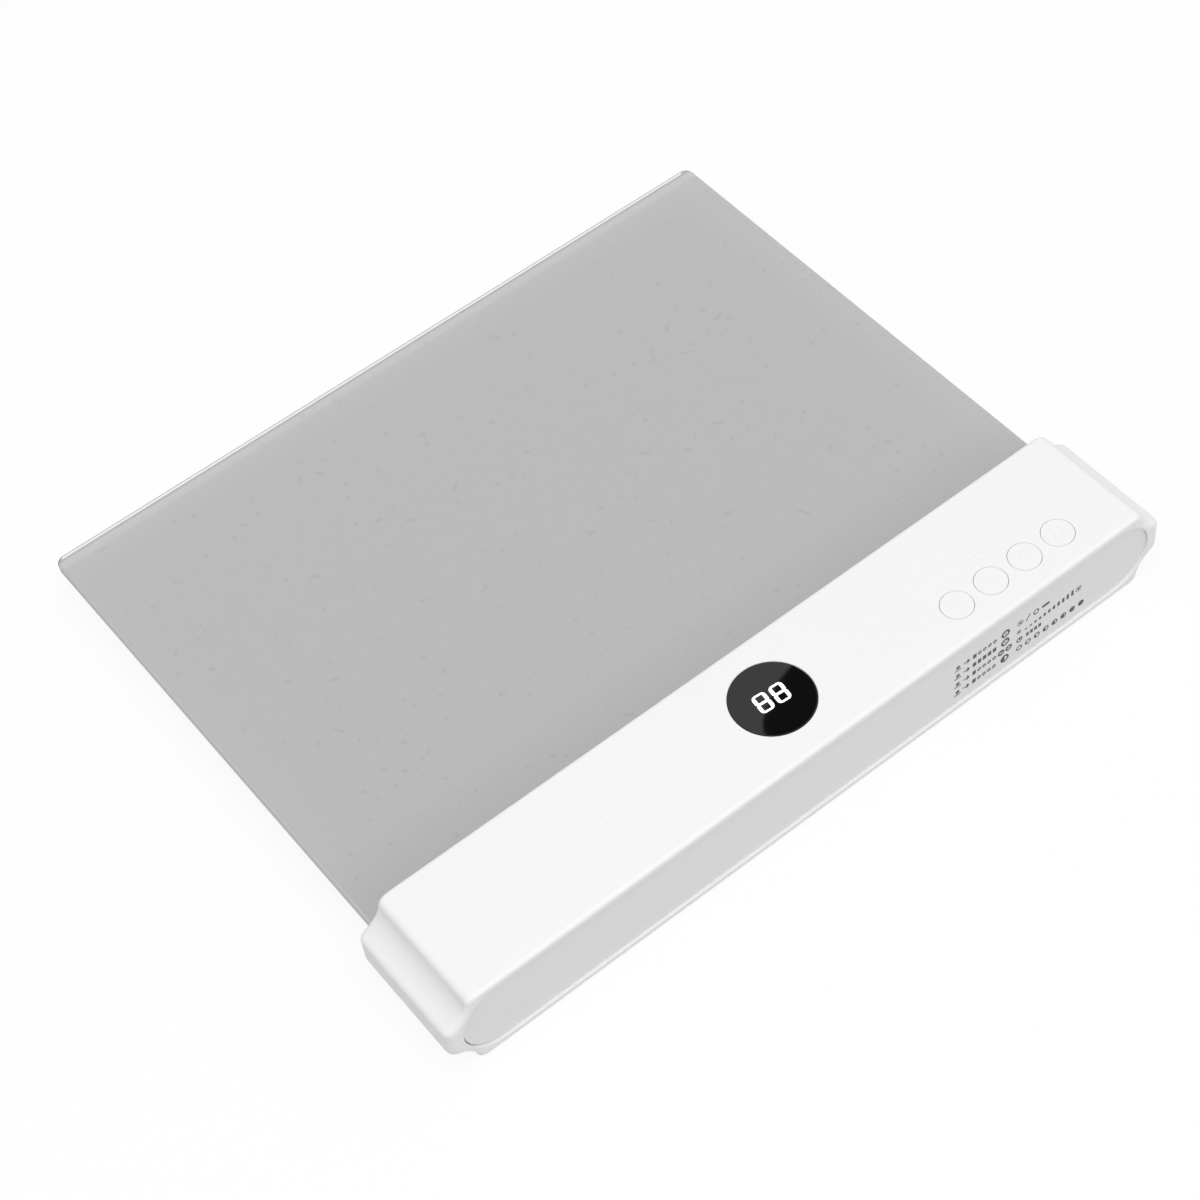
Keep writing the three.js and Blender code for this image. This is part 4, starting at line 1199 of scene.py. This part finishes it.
def digit(sizes, face, side):
    """One lit digit: a rounded slab with two eyes and a notch at each side."""
    low, high = face - sizes.segment_rise, face + sizes.segment_rise
    flat = rectangle(sizes.digit_width, sizes.digit_height, sizes.digit_corner, steps=8)
    body = prism(flat, low, high, along_z(0, 0))
    eye = rectangle(sizes.eye_width, sizes.eye_height, sizes.eye_corner)
    eyes = [prism(eye, low - OVER, high + OVER, along_z(0, way * sizes.eye_pitch / 2)) for way in (-1, 1)]
    nick, side_x = circle(sizes.notch * math.sqrt(2), steps=4), sizes.digit_width / 2
    notches = [prism(nick, low - OVER, high + OVER, along_z(way * side_x, 0)) for way in (-1, 1)]
    combine(body, [("DIFFERENCE", eyes + notches)])
    lean = Matrix.Identity(4)
    lean[0][1] = math.tan(sizes.digit_slant)
    shift = Matrix.Translation((side * sizes.digit_pitch / 2, 0, 0))
    turn = Matrix.Rotation(sizes.digit_turn, 4, "Z")
    place = Matrix.Translation((PANE_PLACE.x, PANE_PLACE.y + sizes.digit_shift, 0))
    body.data.transform(place @ turn @ shift @ lean)
    return body


def build_window(scene, glass, lit):
    """Round pane, and the two digits that stand on it as one piece."""
    sizes = scene.light_window
    face = PANE_HIGH.z - sizes.sink
    disc = circle((PANE_HIGH.x - PANE_LOW.x) / 2, steps=128)
    body = sweep(disc, rimmed(PANE_LOW.z, face, 0, sizes.rim), along_z(PANE_PLACE.x, PANE_PLACE.y))
    finish_piece(body, "window_pane", [glass], MAIN_BODY, "black_window", "display_window")
    left, right = digit(sizes, face, -1), digit(sizes, face, 1)
    combine(left, [("UNION", [right])])
    return finish_piece(left, "digits_lit", [lit], MAIN_BODY, None)


def sign_tools(sizes, key, x, y, opening=math.pi / 5, stem_share=0.7):
    """Cutters of the sign in one cap. The power sign's ring is open at the top, where its stem stands."""
    line, reach = sizes.sign_line, sizes.sign_reach
    quarter = math.pi / 2

    def cut(outline, rise=0):
        return prism(outline, TOP_Z - sizes.sign_depth, TOP_Z + OVER, along_z(x, y + rise))

    def stroke(width, height, rise=0):
        return cut(rectangle(width, height, sizes.sign_corner), rise)

    def ring(start, end, steps=40):
        return cut(lambda _: arc(0, 0, reach, start, end, steps) + arc(0, 0, reach - line, end, start, steps))

    if key == "minus":
        return [stroke(2 * reach, line)]
    if key == "plus":
        return [stroke(2 * reach, line), stroke(line, 2 * reach)]
    if key == "power":
        return [ring(quarter + opening, 5 * quarter - opening), stroke(line, reach, stem_share * reach)]
    half_disc = cut(lambda _: arc(0, 0, reach - line / 2, -quarter, quarter, steps=32))
    return [ring(quarter, 3 * quarter), half_disc]


def build_button(scene, key, material):
    """Cap with its stem, its flange below the shell and the sign sunk in its face."""
    sizes = scene.light_buttons
    place = centre(f"button_{key}")
    low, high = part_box(f"button_{key}")
    flange_radius = (high.x - low.x) / 2
    flange_top = TOP_Z - scene.light_housing.wall - sizes.flange_gap
    flange_low = flange_top - sizes.flange_thickness
    stations = [
        (low.z, sizes.stem_radius), (flange_low, sizes.stem_radius), (flange_low, flange_radius),
        (flange_top, flange_radius), (flange_top, sizes.radius),
    ]
    stations += [(TOP_Z - aside, sizes.radius - down) for down, aside in quarter_round(sizes.rim, steps=6)]
    cap = sweep(circle(0, steps=96), stations, along_z(place.x, place.y))
    combine(cap, [("DIFFERENCE", sign_tools(sizes, key, place.x, place.y))])
    clean(cap)
    return finish_piece(cap, f"cap_{key}", [material], f"{key}_key", "white_shell", f"button_{key}")


def dress(nodes, material, edge=0.06 * MM):
    """Gives frame nodes that stay their finish, with softened edges and smooth round faces."""
    for name in nodes:
        piece = frame["nodes"][name]
        piece.data.materials.clear()
        piece.data.materials.append(material)
        piece.modifiers.new("weld", "WELD").merge_threshold = WELD
        if edge:
            soften = piece.modifiers.new("soften", "BEVEL")
            soften.width = edge
            soften.segments = 2
            soften.limit_method = "ANGLE"
            soften.angle_limit = math.radians(40)
        piece.data.shade_smooth()
        even_normals(piece, keep_sharp=False)


class LIGHT_OT_stage(bpy.types.Operator):
    """Makes the camera, the pale floor, the soft lights and the dark card that the window mirrors"""

    bl_idname = "book_light.stage"
    bl_label = "Stage"

    def execute(self, context):
        build_camera(context.scene)
        build_floor(context.scene)
        build_lights(context.scene)
        build_card()
        return {"FINISHED"}


class LIGHT_OT_housing(bpy.types.Operator):
    """Builds the two white shells of the bar"""

    bl_idname = "book_light.housing"
    bl_label = "Housing shells"

    def execute(self, context):
        material = moulded("shell_white", context.scene.light_colours.shell)
        build_top_shell(context.scene, material)
        build_bottom_shell(context.scene, material)
        return {"FINISHED"}


class LIGHT_OT_plate(bpy.types.Operator):
    """Builds the front plate with its printed legend"""

    bl_idname = "book_light.plate"
    bl_label = "Front plate"

    def execute(self, context):
        colours = context.scene.light_colours
        satin = moulded("plate_satin", colours.plate, roughness=0.36)
        build_front_plate(context.scene, satin)
        build_legend(context.scene, printed("legend_ink", colours.ink), satin)
        return {"FINISHED"}


class LIGHT_OT_panel(bpy.types.Operator):
    """Builds the clear light panel"""

    bl_idname = "book_light.panel"
    bl_label = "Light panel"

    def execute(self, context):
        colours = context.scene.light_colours
        # Milky edge finishes, each with the painted glow of its side
        milky = [sawn_edge_painted_glow(name, colours.panel_edge, glow) for name, glow in PANEL_EDGE_PAINTED_GLOWS]
        build_panel(context.scene, [clear_acrylic("acrylic_clear", colours.panel), *milky])
        return {"FINISHED"}


class LIGHT_OT_window(bpy.types.Operator):
    """Builds the black display window with its two lit digits"""

    bl_idname = "book_light.window"
    bl_label = "Display window"

    def execute(self, context):
        colours = context.scene.light_colours
        build_window(context.scene, glossy_black("window_black", colours.window),
                     lit_segment("digit_light", colours.lit))
        return {"FINISHED"}


class LIGHT_OT_buttons(bpy.types.Operator):
    """Builds the four caps with their sunk signs"""

    bl_idname = "book_light.buttons"
    bl_label = "Buttons"

    def execute(self, context):
        material = moulded("cap_white", context.scene.light_colours.shell, grain=0.3 * MM, roughness=0.4)
        for key in KEYS:
            build_button(context.scene, key, material)
        return {"FINISHED"}


class LIGHT_OT_inner(bpy.types.Operator):
    """Finishes the boards, chips, switches, strip, cell, leads, screws and inlet of the frame"""

    bl_idname = "book_light.inner"
    bl_label = "Inner pieces"

    def execute(self, context):
        slots = {}
        for part in frame["record"]["subparts"]:
            slots.setdefault(part["material_slot"], []).append(part["node"])
        tones = context.scene.light_inner_colours
        black_leads = ["lead_black", "strip_lead_black"]
        dark = [name for name in slots["dark_plastic"] if name not in black_leads]
        dress(dark, moulded("moulding_dark", tones.dark, cloud_share=0.8))
        dress(black_leads, moulded("insulation_black", tones.black_lead, roughness=0.5), edge=0)
        dress(slots["red_insulation"], moulded("insulation_red", tones.red_lead, roughness=0.5), edge=0)
        dress(slots["circuit_board"], solder_mask("board_green", tones.board))
        dress(slots["white_board"], solder_mask("board_white", tones.strip))
        dress(slots["white_nylon"], moulded("nylon", tones.nylon, cloud_share=0.93))
        dress(slots["diode"], gel("phosphor_gel", tones.gel))
        dress(slots["cell_wrap"], moulded("wrap_blue", tones.wrap, roughness=0.3), edge=0.2 * MM)
        drawn = metal("nickel_strip", tones.nickel, grain=0.2 * MM, stretch=(1, 1, 0.1), roughness=0.25)
        formed = metal("inlet_steel", tones.steel, grain=0.15 * MM, stretch=(0.1, 1, 1), roughness=0.2)
        plated = metal("zinc_plate", tones.zinc, grain=0.3 * MM, stretch=(1, 1, 1), roughness=0.3)
        dress(slots["nickel"], drawn, edge=0)
        dress(slots["inlet_metal"], formed)
        dress(slots["screw_steel"], plated)
        return {"FINISHED"}


def camera_place():
    """Where the photograph was taken from."""
    return Vector((0, BACK_Y, PARTING_Z)) + CAMERA_OFFSET


def build_camera(scene):
    """Camera at the photograph's place, with its roll about the line of sight."""
    level, rise = math.cos(CAMERA_ELEVATION), math.sin(CAMERA_ELEVATION)
    back = Vector((math.sin(CAMERA_AZIMUTH) * level, -math.cos(CAMERA_AZIMUTH) * level, rise))
    right = Vector((0, 0, 1)).cross(back).normalized()
    right = math.cos(CAMERA_ROLL) * right + math.sin(CAMERA_ROLL) * back.cross(right)
    data = bpy.data.cameras.new("photo_camera")
    data.sensor_width = CAMERA_SENSOR_MM
    data.lens = CAMERA_LENS_MM
    data.clip_start = CAMERA_CLIP
    camera = bpy.data.objects.new("photo_camera", data)
    turn = Matrix((right, back.cross(right), back)).transposed()
    camera.matrix_world = Matrix.Translation(camera_place()) @ turn.to_4x4()
    scene.collection.objects.link(camera)
    scene.camera = camera


def background_share(surface):
    """1 for rays from the camera, a mirror or clear material, and 0 for the rays that carry light."""
    rays = surface.node("ShaderNodeLightPath")
    seen = rays.output("Is Camera Ray") + rays.output("Is Glossy Ray") + rays.output("Is Transmission Ray")
    return seen.at_most(1.0)


def build_floor(scene, lit_share=0.55, glow_share=0.88):
    """Pale floor: it keeps a soft shadow, and is near white where it is seen."""
    floor = box_tool(-FLOOR_REACH, FLOOR_REACH, -FLOOR_REACH, FLOOR_REACH, -FLOOR_BOTTOM, -FLOOR_TOP)
    floor.name = "floor"
    surface = Surface("floor_pale")
    seen = background_share(surface)
    pale = surface.tint(seen, scene.light_colours.floor, low=lit_share)
    diffuse = surface.node("ShaderNodeBsdfDiffuse", sockets={"Color": pale})
    glow = surface.node("ShaderNodeEmission", sockets={"Color": WHITE, "Strength": 1.0})
    shown = surface.node("ShaderNodeMixShader", sockets={0: seen * glow_share, 1: diffuse, 2: glow})
    floor.data.materials.append(surface.finish(shown))


def add_lamp(scene, name, place, width, power):
    """Soft square lamp that looks at the origin."""
    data = bpy.data.lights.new(name, "AREA")
    data.shape = "SQUARE"
    data.size = width
    data.energy = power
    lamp = bpy.data.objects.new(name, data)
    lamp.location = place
    lamp.rotation_euler = (-Vector(place)).to_track_quat("-Z", "Y").to_euler()
    lamp.visible_glossy = False
    lamp.visible_transmission = False
    scene.collection.objects.link(lamp)


def build_lights(scene):
    """Even white surroundings, a broad lamp above, and weaker ones in front, on the right and on the left."""
    world = bpy.data.worlds.new("studio")
    surface = Surface("studio", world)
    strength = background_share(surface) * (1.0 - WORLD_LIGHT) + WORLD_LIGHT
    glow = surface.node("ShaderNodeBackground", sockets={"Color": WHITE, "Strength": strength})
    surface.node("ShaderNodeOutputWorld", sockets={"Surface": glow})
    scene.world = world
    scene.view_settings.view_transform = "Standard"
    for lamp in LAMPS:
        add_lamp(scene, *lamp)


def build_card():
    """Dark card high above the window: mirrors and glossy faces see it, and nothing else does."""
    camera = camera_place()
    reach = CARD_HEIGHT / (camera.z - TOP_Z)
    corners = []
    for x, y in CARD_EDGE:
        mirrored = Vector((x * MM, BACK_Y + y * MM)) * (1 + reach) - camera.xy * reach
        corners.append((mirrored.x, mirrored.y))
    shape = loft([[(x, y, TOP_Z + CARD_HEIGHT + rise) for x, y in corners] for rise in (0, MM)])
    card = to_object(shape, "dark_card")
    surface = Surface("card_black")
    shade = surface.node("ShaderNodeBsdfDiffuse", sockets={"Color": shaded(WHITE, 0.004)})
    card.data.materials.append(surface.finish(shade))
    card.visible_camera = False
    card.visible_diffuse = False
    card.visible_transmission = False
    card.visible_volume_scatter = False
    card.visible_shadow = False


class LIGHT_PT_panel(bpy.types.Panel):
    """Lists the pieces of the book light"""

    bl_idname = "LIGHT_PT_panel"
    bl_label = "Flat book light"
    bl_space_type = "VIEW_3D"
    bl_region_type = "UI"
    bl_category = "Book light"

    def draw(self, context):
        for operator in OPERATORS:
            self.layout.operator(operator.bl_idname, text=operator.bl_label)
        for key in GROUPS:
            group = getattr(context.scene, key)
            for name in group.__annotations__:
                self.layout.prop(group, name)


OPERATORS = (
    LIGHT_OT_stage, LIGHT_OT_housing, LIGHT_OT_plate, LIGHT_OT_panel, LIGHT_OT_window, LIGHT_OT_buttons,
    LIGHT_OT_inner,
)
GROUPS = {
    "light_housing": HousingSizes,
    "light_fixings": FixingSizes,
    "light_plate": PlateSizes,
    "light_panel": PanelSizes,
    "light_window": WindowSizes,
    "light_buttons": ButtonSizes,
    "light_colours": FinishColours,
    "light_inner_colours": InnerColours,
}


def register():
    for kind in (*GROUPS.values(), *OPERATORS, LIGHT_PT_panel):
        bpy.utils.register_class(kind)
    for key, kind in GROUPS.items():
        setattr(bpy.types.Scene, key, bpy.props.PointerProperty(type=kind))


def unregister():
    for key in GROUPS:
        delattr(bpy.types.Scene, key)
    for kind in reversed((*GROUPS.values(), *OPERATORS, LIGHT_PT_panel)):
        bpy.utils.unregister_class(kind)


def main():
    register()
    for operator in OPERATORS:
        group, name = operator.bl_idname.split(".")
        getattr(getattr(bpy.ops, group), name)()


if __name__ == "__main__":
    main()
